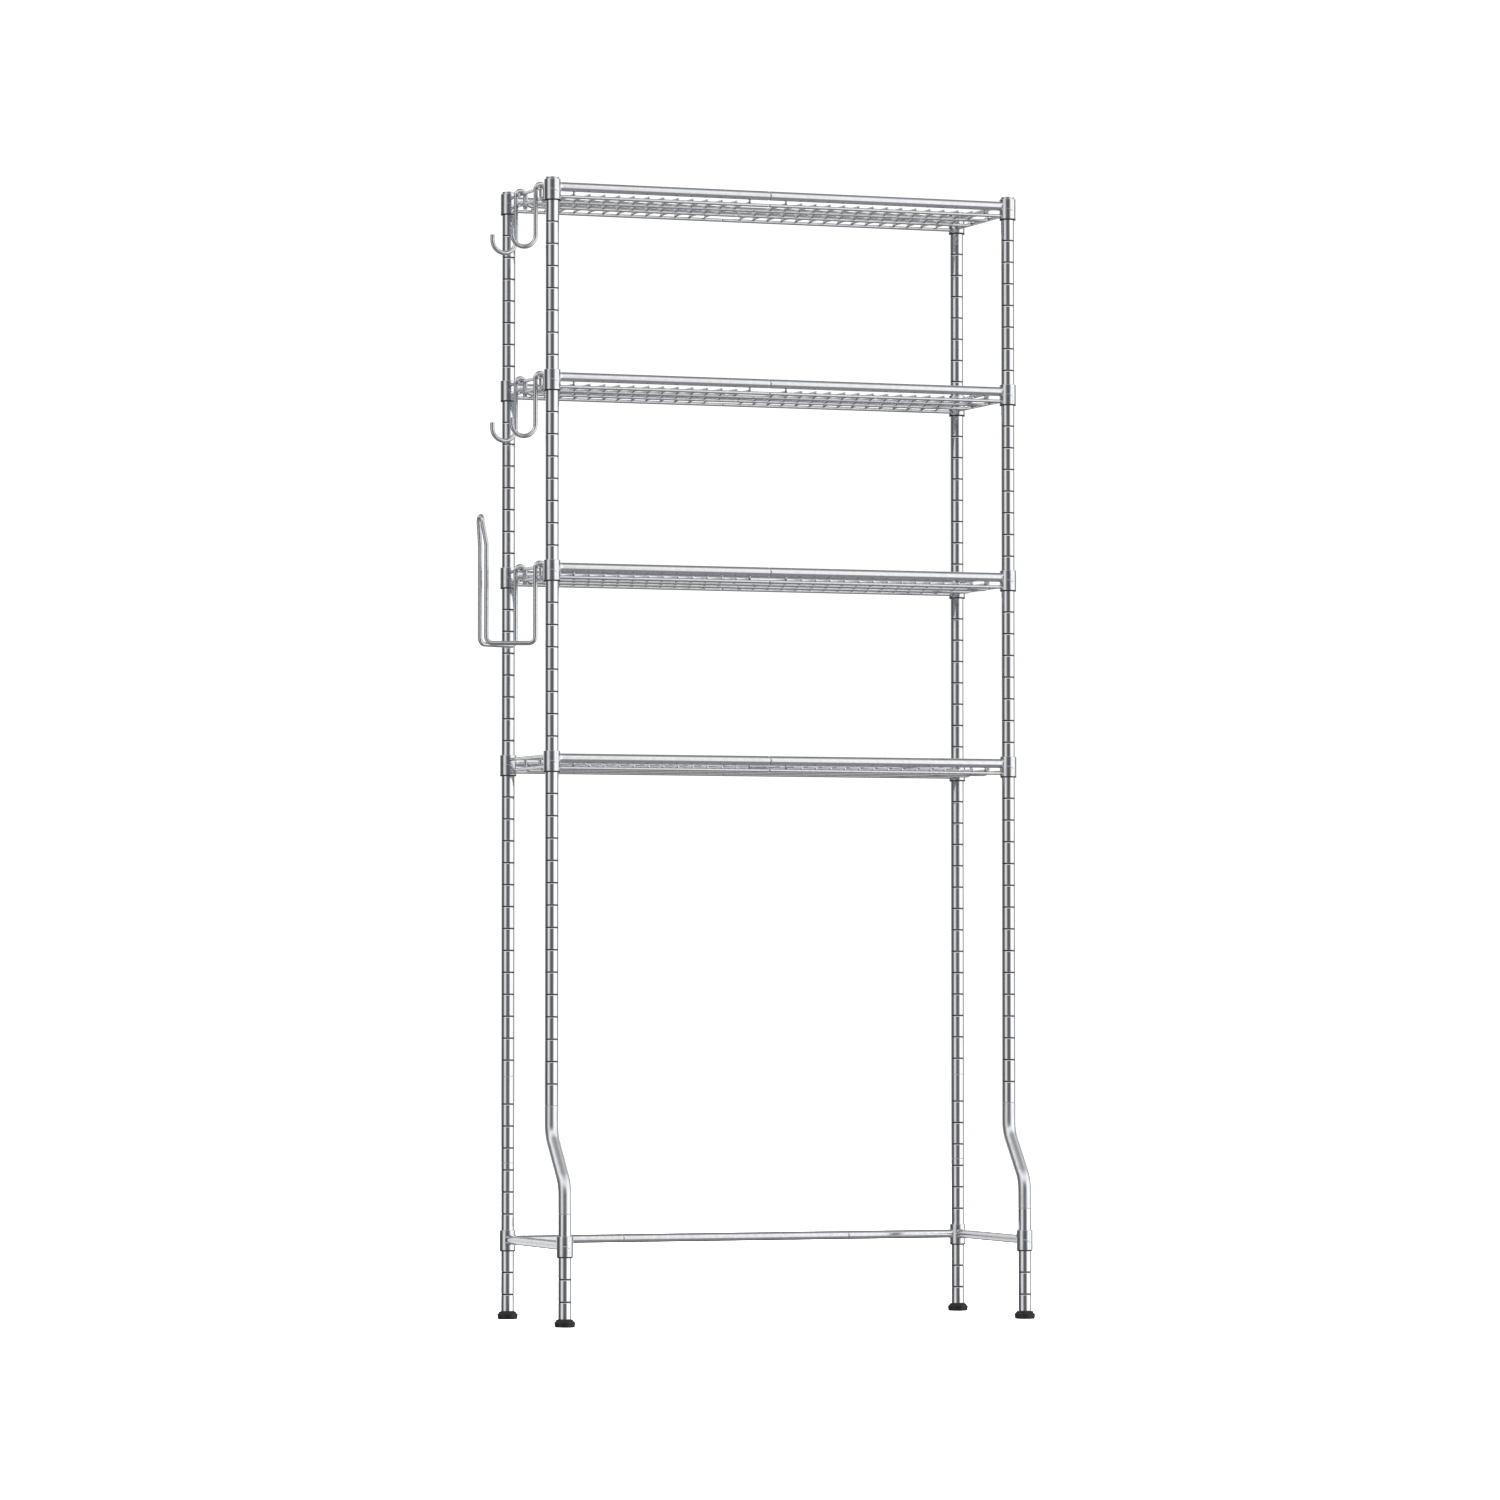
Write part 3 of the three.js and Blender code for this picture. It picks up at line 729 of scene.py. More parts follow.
@dataclass(frozen=True)
class CopedTube:
    """Level tube whose near end is shaped round an upright collar and welded to it."""

    radius: float
    bore: float
    fillet: float                 # size of the weld at the collar
    end_round: float              # rounding of the far end's outer edge
    post_radius: float            # outer radius of the collar
    sunk: float = 0.25            # depth of the hidden end inside the collar's wall
    weld_land: float = 3.0        # plain length beyond the weld that still follows the collar
    blend: float = 12.0           # from the collar to the first ring square to the tube
    bore_depth: float = 14.0
    spans: int = 10
    round_steps: int = 4
    sides: int = 32

    def ring(
        self, width: float, reach: float, coped: bool, start: Vector, toward: Vector
    ) -> list[Vector]:
        """Makes one ring of the tube.

        Args:
            width: radius of the ring.
            reach: distance from the collar's wall if coped, or else from its axis.
            coped: the ring follows the collar's wall instead of standing square to the tube.
            start: point of the tube's centre line on the collar's axis.
            toward: unit direction of the tube, away from the collar.

        Returns:
            The ring's points.
        """
        up = Vector((0, 0, 1))
        across = up.cross(toward)
        wall = self.post_radius + reach
        points = []
        for c, s in circle(self.sides):
            side = width * c
            along = math.sqrt(max(wall * wall - side * side, 1.0)) if coped else reach
            points.append(start + toward * along + across * side + up * width * s)
        return points

    def add_to(
        self, builder: MeshBuilder, start: Vector, toward: Vector, length: float
    ) -> None:
        """Adds the tube to a mesh.

        Args:
            builder: mesh that receives the tube.
            start: point of the tube's centre line on the collar's axis.
            toward: unit direction of the tube, away from the collar.
            length: from the collar's axis to the tube's far end.
        """
        # The hidden end follows the collar's wall, so that it stays clear of the pole inside
        hidden = self.radius + self.fillet
        coped = [(hidden * share, -self.sunk) for share in (0.05, 0.35, 0.7)]
        for step in range(self.round_steps + 1):
            angle = math.pi / 2 * step / self.round_steps
            grow = self.fillet * (1 - math.sin(angle))
            rise = self.fillet * (1 - math.cos(angle))
            coped.append((self.radius + grow, rise - self.sunk))
        coped.append((self.radius, self.fillet + self.weld_land))
        near = self.post_radius + self.blend
        far = length - self.end_round
        square = [(self.radius, near)]
        square += [
            (self.radius, near + (far - near) * step / self.spans) for step in range(1, self.spans)
        ]
        square.append((self.radius, far - MeshBuilder.INSIDE_MM))
        for step in range(self.round_steps + 1):
            angle = math.pi / 2 * step / self.round_steps
            width = self.radius - self.end_round * (1 - math.cos(angle))
            square.append((width, length - self.end_round * (1 - math.sin(angle))))
        square += [(self.bore, length), (self.bore, length - self.bore_depth)]
        rings = [self.ring(width, reach, True, start, toward) for width, reach in coped]
        rings += [self.ring(width, reach, False, start, toward) for width, reach in square]
        builder.loft(rings)


@dataclass
class SubAssembly:
    """Base of the rack's sub-assemblies: makes pieces that stand for CAD nodes."""

    finishes: Finishes

    def dress(
        self,
        builder: MeshBuilder,
        node: str,
        body: str,
        slot: str,
        finishes: Sequence[Finish],
    ) -> bpy.types.Object:
        """slot: material slot of the record; not used.
            finishes: finishes in the order of their numbers in the mesh.

        Returns:
            The finished piece.
        """
        obj = builder.build(f"{node}.look", [self.finishes.get(f) for f in finishes])
        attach(obj, body)
        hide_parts(node)
        log.info("%s: %d faces", obj.name, len(builder.faces))
        return obj


# Poles


@dataclass
class Pole(SubAssembly):
    """One corner's stack of tubes from its levelling foot to its cap."""

    row: Row
    side: Side
    radius: float = 9.5
    wall: float = 1.0
    fit: float = 0.3
    spigot: float = 18.0
    edge: float = 0.45            # rounding of each section's ends
    neck_chamfer: tuple[float, float] = (0.4, 0.5)
    sides: int = 48
    groove_depth: float = 0.5
    groove_half: float = 1.9
    groove_land: float = 1.6      # from the groove to the ring that keeps the wall straight
    groove_pitch: float = 30.8    # spacing of the rolled grooves that sleeves snap into
    first_groove: float = 29.5    # below the underside of a shelf's sleeves
    groove_free: float = 9.0      # least distance of a groove from the end of its section
    knee_radius: float = 40.0
    knee_straight: float = 25.0
    knee_angle_deg: float = 40.0
    insert: float = 14.0
    stud_radius: float = 3.0
    # Radius and height of the foot's base, drum, shoulder and neck
    foot_profile: Profile = ((14.2, 0.0), (15.0, 7.8), (13.2, 7.8), (11.9, 11.0))
    core_radius: float = 1.0      # hole that the mould's core pin leaves through foot and stud
    base_hollow: float = 0.6      # the foot rests on the outer ring of its base
    base_ring: float = 3.0
    stud_chamfer: float = 0.6
    foot_rounds: Triple = (1.3, 0.7, 0.5)
    cap_flange: float = 2.0
    cap_core: float = 0.5         # hole left by the cap's thinner core pin
    dish_radius: float = 6.5
    dish_depth: float = 0.9
    cap_rounds: tuple[float, float] = (0.3, 0.8)

    @property
    def corner(self) -> str:
        """Name of the pole's corner."""
        return corner_label(self.row, self.side)

    @property
    def bore(self) -> float:
        """Inner radius of the tube."""
        return self.radius - self.wall

    @property
    def neck(self) -> float:
        """Outer radius of a section's necked spigot."""
        return self.bore - self.fit

    def neck_wall(self, bottom: float, top: float) -> list[tuple[float, float]]:
        """Outer profile of a spigot, chamfered and turned in at its top.

        Args:
            bottom: height where the spigot starts.
            top: height of its end.

        Returns:
            Radius and height of each point, upwards.
        """
        inwards, down = self.neck_chamfer
        return [
            (self.neck, bottom),
            (self.neck, top - down),
            (self.neck - inwards, top),
            (self.neck - self.wall, top),
        ]

    def groove_heights(self, bottom: float, top: float) -> list[float]:
        """Heights of the rolled grooves of one section.

        Args:
            bottom: lower end of the section.
            top: upper end of the section.

        Returns:
            Heights from the lowest groove up.
        """
        heights = []
        floor = cad_box(f"base_sleeve_{self.corner}")[0].z
        steps = [cad_box(f"{tier.label}_sleeve_{self.corner}")[0].z for tier in Tier]
        ceiling = bottom
        for datum in [floor, *steps]:
            height = datum - self.first_groove
            while height > ceiling + self.groove_free:
                if bottom + self.groove_free < height < top - self.groove_free:
                    heights.append(height)
                height -= self.groove_pitch
            ceiling = max(ceiling, datum + self.first_groove)
        return sorted(heights)

    def outer_wall(self, bottom: float, top: float) -> list[tuple[float, float]]:
        """Outer profile of a section, with its grooves and rounded ends.

        Args:
            bottom: lower end of the section.
            top: upper end of the section.

        Returns:
            Radius and height of each point, upwards.
        """
        r = self.radius
        points = soft_corner((r, bottom), (-1, 0), (0, 1), self.edge)
        points.append((r, bottom + 2 * self.edge))
        for height in self.groove_heights(bottom, top):
            points.append((r, height - self.groove_half - self.groove_land))
            for i in range(-4, 5):
                place = i / 4
                depth = self.groove_depth * 0.5 * (1 + math.cos(math.pi * place))
                points.append((r - depth, height + place * self.groove_half))
            points.append((r, height + self.groove_half + self.groove_land))
        points.append((r, top - 2 * self.edge))
        return points + soft_corner((r, top), (0, -1), (-1, 0), self.edge)

    def straight_section(self, node: str, plugs: bool, has_insert: bool) -> None:
        """Builds one straight section of the pole.

        Args:
            node: CAD node of the section.
            plugs: the top is necked to plug into the section above.
            has_insert: the bottom holds the threaded insert of the foot.
        """
        low, high = cad_box(node)
        bottom = low.z
        top = high.z - (self.spigot if plugs else 0.0)
        profile = self.outer_wall(bottom, top)
        if plugs:
            profile += self.neck_wall(top, high.z)
            profile += [(self.neck - self.wall, top - self.wall), (self.bore, top - self.wall)]
        else:
            profile += [(self.bore, top)]
        if has_insert:
            hole = self.stud_radius + self.fit
            profile += [(self.bore, bottom + self.insert), (hole, bottom + self.insert)]
            profile += [(hole, bottom)]
        else:
            profile += [(self.bore, bottom)]
        builder = MeshBuilder()
        centre = cad_centre(node)
        # The grooves take the dark finish, partly painted shade for their dark reflections
        shaded_groove_radii = (self.bore + 0.1, self.radius - self.groove_depth * 0.4)
        builder.turned(profile, centre.x, centre.y, shaded_groove_radii=shaded_groove_radii)
        self.dress(builder, node, "frame", "pole_chrome", [POLE_CHROME, GROOVE_CHROME_WITH_PAINTED_SHADE])

    def knee_section(self, node: str) -> None:
        """Builds the bent tube between a front leg and its pole.

        Args:
            node: CAD node of the tube.
        """
        low, high = cad_box(node)
        x = cad_centre(node).x
        leg_y = cad_centre(f"{self.corner}_leg").y
        pole_y = cad_centre(f"{self.corner}_pole_top").y
        top = high.z - self.spigot
        half_turn = math.radians(self.knee_angle_deg / 2)
        corner = self.knee_straight + self.knee_radius * math.tan(half_turn)
        route = [
            Vector((x, leg_y, low.z)),
            Vector((x, leg_y, low.z + corner)),
            Vector((x, pole_y, top - corner)),
            Vector((x, pole_y, top)),
        ]
        builder = MeshBuilder()
        path = rounded(route, self.knee_radius, 14)
        builder.sweep(path, self.radius, self.sides, burr=self.edge)
        profile = self.neck_wall(top - self.wall, high.z)
        builder.turned([*profile, (self.neck - self.wall, top - self.wall)], x, pole_y)
        self.dress(builder, node, "frame", "pole_chrome", [BENT_CHROME])

    def foot(self, node: str) -> None:
        """Builds the levelling foot with its stud.

        Args:
            node: CAD node of the foot.
        """
        top = cad_box(node)[1].z
        centre = cad_centre(node)
        base, drum, shoulder, neck = self.foot_profile
        base_round, drum_round, neck_round = self.foot_rounds
        ring = base[0] - self.base_ring
        profile = [(self.core_radius, self.base_hollow), (ring, self.base_hollow)]
        profile.append((ring + self.base_hollow, 0.0))
        profile += soft_corner(base, (-1, 0), (0, 1), base_round, 4)
        profile += soft_corner(drum, (0, -1), (-1, 0), drum_round)
        profile += [shoulder, (shoulder[0] - 0.15, shoulder[1] + 0.4)]
        profile += soft_corner(neck, (0.37, -0.93), (-1, 0), neck_round)
        profile += [(self.stud_radius, neck[1]), (self.stud_radius, top - self.stud_chamfer)]
        profile += [(self.stud_radius - self.stud_chamfer, top), (self.core_radius, top)]
        builder = MeshBuilder()
        builder.turned(profile, centre.x, centre.y)
        self.dress(builder, node, f"{self.corner}_foot", "foot_plastic", [FOOT_PLASTIC])

    def cap(self, node: str) -> None:
        """Builds the dished cap that closes the pole.

        Args:
            node: CAD node of the cap.
        """
        low, high = cad_box(node)
        centre = cad_centre(node)
        seat = high.z - self.cap_flange
        plug = self.neck
        dish = high.z - self.dish_depth
        seat_round, top_round = self.cap_rounds
        profile = [(self.cap_core, low.z), (plug - 0.5, low.z), (plug, low.z + 0.6), (plug, seat)]
        profile += soft_corner((self.radius, seat), (-1, 0), (0, 1), seat_round)
        profile += soft_corner((self.radius, high.z), (0, -1), (-1, 0), top_round, 4)
        profile += [(self.dish_radius + 0.3, high.z), (self.dish_radius - 0.5, dish + 0.2)]
        profile += [(self.dish_radius - 1.2, dish), (self.cap_core, dish)]
        builder = MeshBuilder()
        builder.turned(profile, centre.x, centre.y)
        self.dress(builder, node, "frame", "cap_chrome", [CAP_CHROME])

    def build(self) -> None:
        """Builds every piece of the pole."""
        self.cap(f"{self.corner}_pole_cap")
        self.straight_section(f"{self.corner}_pole_top", False, False)
        self.straight_section(f"{self.corner}_pole_middle", True, False)
        if self.row is Row.FRONT:
            self.knee_section(f"{self.corner}_knee_tube")
        else:
            self.straight_section(f"{self.corner}_link_tube", True, False)
        self.straight_section(f"{self.corner}_leg", True, True)
        self.foot(f"{self.corner}_foot")


@dataclass
class Sleeve(SubAssembly):
    """Split tapered sleeve that snaps into a groove and wedges a collar."""

    row: Row
    side: Side
    owner: str                    # "base" or the name of a shelf
    bore: float = 9.8
    tip_wall: float = 0.5
    taper: float = 0.35
    rim_radius: float = 11.5
    rim_height: float = 1.4
    slot_mm: float = 2.5
    edge: float = 0.3

    def build(self) -> None:
        """Builds the sleeve with its visible rim."""
        node = f"{self.owner}_sleeve_{corner_label(self.row, self.side)}"
        low, high = cad_box(node)
        leg = "leg" if self.owner == "base" else "pole_top"
        axis = cad_centre(f"{corner_label(self.row, self.side)}_{leg}")
        tip = self.bore + self.tip_wall
        root = tip + self.taper
        height = high.z - low.z
        profile = [(self.bore, 0.0)]
        profile += soft_corner((self.rim_radius, 0.0), (-1, 0), (0, 1), self.edge)
        profile += soft_corner((self.rim_radius, self.rim_height), (0, -1), (-1, 0), self.edge)
        profile += [(root, self.rim_height), (tip, height), (self.bore, height)]
        builder = MeshBuilder()
        builder.split_ring(profile, Vector((axis.x, axis.y, low.z)), self.slot_mm, self.side)
        self.dress(builder, node, "frame", "sleeve_plastic", [SLEEVE_PLASTIC])


@dataclass
class Collar:
    """Pressed steel collar welded to a shelf or to the base frame."""

    height: float = 28.0
    radius: float = 11.8
    bore_root: float = 10.95
    bore_tip: float = 10.6
    lift: float = 1.6             # above the underside of its sleeve
    edge: float = 0.4
    mark_radius: float = 0.45     # ridge left where the collar was pressed closed
    mark_drop: float = 3.0
    mark_turns_deg: Triple = (-34.0, -6.0, 15.0)
    mark_rise: float = 0.4
    mark_steps: int = 4

    def add_to(self, builder: MeshBuilder, x: float, y: float, datum: float) -> None:
        """Adds the collar to a mesh.

        Args:
            builder: mesh that receives the collar.
            x: place of the pole's axis.
            y: place of the pole's axis.
            datum: height of the sleeve's underside.
        """
        bottom = datum + self.lift
        top = bottom + self.height
        profile = soft_corner((self.radius, bottom), (-1, 0), (0, 1), self.edge)
        profile += [(self.radius, bottom + 2 * self.edge), (self.radius, top - 2 * self.edge)]
        profile += soft_corner((self.radius, top), (0, -1), (-1, 0), self.edge)
        profile += [(self.bore_tip + 0.05, top), (self.bore_tip, top - 0.3)]
        profile += [(self.bore_root, bottom)]
        builder.turned(profile, x, y, 64)
        middle = (bottom + top) / 2
        heights = (middle + self.mark_rise, middle, middle - self.mark_drop)
        bends = [Vector(bend) for bend in zip(self.mark_turns_deg, heights)]
        line = [
            here.lerp(there, step / self.mark_steps)
            for here, there in zip(bends, bends[1:])
            for step in range(self.mark_steps)
        ]
        ridge = []
        for turn_deg, height in [*line, bends[-1]]:
            angle = math.radians(turn_deg)
            out = Vector((math.sin(angle), -math.cos(angle), 0)) * self.radius
            ridge.append(Vector((x, y, height)) + out)
        builder.sweep(ridge, self.mark_radius, 8, WireEnd.DOME)


# Shelves


@dataclass
class ShelfHalf(SubAssembly):
    """One welded half of a tray shelf."""

    tier: Tier
    side: Side
    collar: Collar = field(default_factory=Collar)
    rail_radius: float = 6.5
    rail_z: float = 19.9
    rail_wall: float = 1.0
    rail_spigot: float = 20.0
    rail_end_round: float = 1.3
    rail_fillet: float = 1.1
    rim_d: float = 4.8
    rim_z: float = 6.1
    side_wire_d: float = 4.6
    side_wire_heights: tuple[float, float] = (8.6, 23.3)
    runner_d: float = 4.6
    runner_bend: float = 8.0
    deck_d: float = 3.4
    deck_pitch: float = 21.6
    deck_past_rim: float = 0.6
    brace_from_pole: float = 33.0
    brace_from_seam: float = 27.0
    brace_bend: float = 2.4
    wire_spans: int = 6
    rim_spans: int = 8
    joint_setback: float = 0.4    # each rail's rounded end stands back this far from the seam
    weld: float = 0.3
    seam_gap: float = 0.2
    # Half sizes of the weld beads
    runner_bead: Triple = (1.9, 1.8, 0.7)
    rim_bead: Triple = (2.2, 2.1, 0.75)
    brace_bead: Triple = (1.9, 0.9, 1.6)
    rail_bead: Triple = (2.2, 2.2, 1.0)
    side_bead: Triple = (0.8, 2.4, 2.2)

    def __post_init__(self) -> None:
        """Reads the half's driving places from the frame."""
        label = self.side.label
        front = cad_centre(f"front_{label}_pole_top")
        rear = cad_centre(f"rear_{label}_pole_top")
        self.datum = cad_box(f"{self.tier.label}_sleeve_front_{label}")[0].z
        self.pole_x = front.x
        self.front_y = front.y
        self.rear_y = rear.y
        self.inward = Vector((-self.side.value, 0, 0))
        self.seam_x = cad_box(f"{self.tier.label}_shelf_left_half")[1].x
        if self.side is Side.RIGHT:
            self.seam_x += self.seam_gap
        middle = (front.y + rear.y) / 2
        from_middle = (rear.y - front.y) / 6
        self.runner_places = (middle - from_middle, middle + from_middle)
        self.deck_z = self.datum + self.rim_z + (self.rim_d + self.deck_d) / 2 - self.weld
        self.runner_z = self.deck_z - (self.runner_d + self.deck_d) / 2 + self.weld / 2
        self.brace_inset = (self.rim_d + self.deck_d) / 2 - self.weld

    def add_rails(self, builder: MeshBuilder) -> None:
        """Adds the two rails, coped to the collars, and their plug-in ends at the seam.

        Args:
            builder: mesh that receives the rails.
        """
        builder.use_finish(1)
        length = abs(self.seam_x - self.pole_x) - self.joint_setback
        bore = self.rail_radius - self.rail_wall
        rail = CopedTube(
            self.rail_radius, bore, self.rail_fillet, self.rail_end_round, self.collar.radius
        )
        for y in (self.front_y, self.rear_y):
            start = Vector((self.pole_x, y, self.datum + self.rail_z))
            rail.add_to(builder, start, self.inward, length)
            if self.side is Side.RIGHT:
                seam = Vector((self.seam_x, y, start.z))
                plug = [seam - self.inward * 4, seam + self.inward * self.rail_spigot]
                builder.sweep(plug, bore - 0.3, 24, burr=0.5)
        builder.use_finish(0)

    def deck_places(self) -> list[float]:
        """Spaces the cross wires of the deck evenly.

        Returns:
            X of every cross wire, from the seam to the pole.
        """
        first = self.seam_x + self.side.value * self.brace_from_seam
        last = self.pole_x - self.side.value * self.brace_from_pole
        gaps = round(abs(last - first) / self.deck_pitch)
        return [first + (last - first) * i / gaps for i in range(gaps + 1)]

    def add_rims(self, builder: MeshBuilder) -> None:
        """Adds the rim wires under the rails.

        Args:
            builder: mesh that receives the rim wires.
        """
        for y in (self.front_y, self.rear_y):
            height = self.datum + self.rim_z
            start = Vector((self.pole_x - self.side.value * (self.collar.radius - 1), y, height))
            end = Vector((self.seam_x, y, height))
            builder.sweep(straight(start, end, self.rim_spans), self.rim_d / 2, 20, burr=1.2)

    def add_side_wires(self, builder: MeshBuilder) -> None:
        """Adds the two wires that join the collars at the shelf's end.

        Args:
            builder: mesh that receives the side wires.
        """
        inset = self.collar.radius - 1
        for height in self.side_wire_heights:
            start = Vector((self.pole_x, self.front_y + inset, self.datum + height))
            end = Vector((self.pole_x, self.rear_y - inset, self.datum + height))
            builder.sweep(straight(start, end, self.wire_spans), self.side_wire_d / 2, 20)

    def add_runners(self, builder: MeshBuilder) -> None:
        """Adds the two long wires under the deck, turned up at the side wires.

        Args:
            builder: mesh that receives the runners.
        """
        out_x = self.pole_x - self.side.value * ((self.side_wire_d + self.runner_d) / 2 - self.weld)
        top = self.datum + self.side_wire_heights[1] + self.side_wire_d / 2
        low = self.runner_z
        for y in self.runner_places:
            route = [
                Vector((self.seam_x, y, low)),
                Vector((out_x, y, low)),
                Vector((out_x, y, top)),
            ]
            path = rounded(route, self.runner_bend, 10)
            builder.sweep(path, self.runner_d / 2, 20, burr=0.8)

    def add_deck(self, builder: MeshBuilder) -> None:
        """Adds the deck wires that lie on the rims and the two braces bent up to the rails.

        Args:
            builder: mesh that receives the deck.
        """
        places = self.deck_places()
        past = self.deck_d / 2 + self.deck_past_rim
        for x in places[1:-1]:
            start = Vector((x, self.front_y - past, self.deck_z))
            end = Vector((x, self.rear_y + past, self.deck_z))
            builder.sweep(straight(start, end, self.wire_spans), self.deck_d / 2, 14, burr=0.5)
        inset = self.brace_inset
        top = self.datum + self.rail_z - self.rail_radius + 0.6
        for x in (places[0], places[-1]):
            route = [
                Vector((x, self.front_y + inset, top)),
                Vector((x, self.front_y + inset, self.deck_z)),
                Vector((x, self.rear_y - inset, self.deck_z)),
                Vector((x, self.rear_y - inset, top)),
            ]
            builder.sweep(rounded(route, self.brace_bend, 8), self.deck_d / 2, 14)

    def add_welds(self, builder: MeshBuilder) -> None:
        """Adds the weld beads where the wires cross.

        Args:
            builder: mesh that receives the beads.
        """
        builder.use_finish(2)
        rim_top = self.datum + self.rim_z + self.rim_d / 2
        runner_top = self.runner_z + self.runner_d / 2
        rail_low = self.datum + self.rail_z - self.rail_radius
        join_x = self.pole_x - self.side.value * (self.side_wire_d / 2)
        places = self.deck_places()
        for x in places:
            for y in self.runner_places:
                builder.weld_bead(Vector((x, y, runner_top)), self.runner_bead, x - y)
        for x in places[1:-1]:
            for y in (self.front_y, self.rear_y):
                builder.weld_bead(Vector((x, y, rim_top - 0.1)), self.rim_bead, x + y)
        for x in (places[0], places[-1]):
            for y, sign in ((self.front_y, 1), (self.rear_y, -1)):
                at_rim = Vector((x, y + sign * (self.rim_d / 2), rim_top - 0.8))
                builder.weld_bead(at_rim, self.brace_bead, x)
                at_rail = Vector((x, y + sign * self.brace_inset, rail_low + 0.9))
                builder.weld_bead(at_rail, self.rail_bead, x + 3)
        for y in self.runner_places:
            for height in self.side_wire_heights:
                at_side = Vector((join_x, y, self.datum + height))
                builder.weld_bead(at_side, self.side_bead, y + height)
        builder.use_finish(0)

    def build(self) -> None:
        """Builds the half shelf as one welded piece."""
        builder = MeshBuilder()
        builder.use_finish(1)
        for y in (self.front_y, self.rear_y):
            self.collar.add_to(builder, self.pole_x, y, self.datum)
        builder.use_finish(0)
        self.add_rails(builder)
        self.add_rims(builder)
        self.add_side_wires(builder)
        self.add_runners(builder)
        self.add_deck(builder)
        self.add_welds(builder)
        node = f"{self.tier.label}_shelf_{self.side.label}_half"
        finishes = [WIRE_CHROME, ROD_CHROME, WELD_CHROME]
        self.dress(builder, node, f"{self.tier.label}_shelf", "shelf_chrome", finishes)


# Base frame, hooks and roll holder


@dataclass
class BaseFrame(SubAssembly):
    """Two welded side rods with rear stubs, and the rear rod that plugs between them."""

    collar: Collar = field(default_factory=Collar)
    rod_radius: float = 6.4
    rod_wall: float = 1.1
    rod_z: float = 16.0
    rod_spigot: float = 15.0
    end_round: float = 0.9
    fillet: float = 1.1

    def side_piece(self, side: Side) -> None:
        """Builds one side of the base frame.

        Args:
            side: side of the rack.
        """
        node = f"base_frame_{side.label}"
        low, high = cad_box(node)
        datum = cad_box(f"base_sleeve_front_{side.label}")[0].z
        front = cad_centre(f"front_{side.label}_leg")
        rear = cad_centre(f"rear_{side.label}_leg")
        height = datum + self.rod_z
        bore = self.rod_radius - self.rod_wall
        post = self.collar.radius
        rod = CopedTube(self.rod_radius, bore, self.fillet, 0.01, post)
        stub = CopedTube(self.rod_radius, bore, self.fillet, self.end_round, post)
        builder = MeshBuilder()
        for y in (front.y, rear.y):
            self.collar.add_to(builder, front.x, y, datum)
        # The side rod is made as two halves that meet in the middle
        half = (rear.y - front.y) / 2 + 0.5
        rod.add_to(builder, Vector((front.x, front.y, height)), Vector((0, 1, 0)), half)
        rod.add_to(builder, Vector((front.x, rear.y, height)), Vector((0, -1, 0)), half)
        inner_end = high.x if side is Side.LEFT else low.x
        start = Vector((rear.x, rear.y, height))
        stub.add_to(builder, start, Vector((-side.value, 0, 0)), abs(inner_end - rear.x))
        self.dress(builder, node, "frame", "rod_chrome", [ROD_CHROME])

    def rear_rod(self) -> None:
        """Builds the middle length of the rear rod, necked at both ends."""
        node = "base_frame_rear_rod"
        low, high = cad_box(node)
        centre = cad_centre(node)
        left, right = (Vector((x, centre.y, centre.z)) for x in (low.x, high.x))
        inset = Vector((self.rod_spigot, 0, 0))
        neck_radius = self.rod_radius - self.rod_wall - 0.3
        builder = MeshBuilder()
        body = [left + inset, centre, right - inset]
        builder.sweep(body, self.rod_radius, 32, burr=self.end_round)
        builder.sweep([left, right], neck_radius, 24, burr=0.5)
        self.dress(builder, node, "frame", "rod_chrome", [ROD_CHROME])

    def build(self) -> None:
        """Builds the three pieces of the base frame."""
        for side in Side:
            self.side_piece(side)
        self.rear_rod()


@dataclass
class HangingWire(SubAssembly):
    """Wire piece that hangs on a side wire by an arch with a short tail."""

    wire_d: float = 6.2
    arch: float = 6.8
    tail: float = 26.0
    crest_rise: float = 29.0      # centre line of the arch above the underside of the sleeves
    end_burr: float = 0.9
    sides: int = 20

    def crest_height(self, tier: Tier) -> float:
        """Height of the arch's centre line on a shelf's upper side wire."""
        return cad_box(f"{tier.label}_sleeve_front_left")[0].z + self.crest_rise

    def arch_points(self, x: float, y: float, crest: float) -> list[Vector]:
        """Points from the tail's end up and over the side wire.

        Args:
            x: place of the side wire.
            y: place of the hanging wire.
            crest: height of the arch's centre line at its top.

        Returns:
            The points, ending on the outer side of the arch.
        """
        centre = Vector((x, y, crest - self.arch))
        over = half_circle(centre, Vector((self.arch, 0, 0)), Vector((0, 0, self.arch)))
        return [Vector((x + self.arch, y, crest - self.tail)), *over]


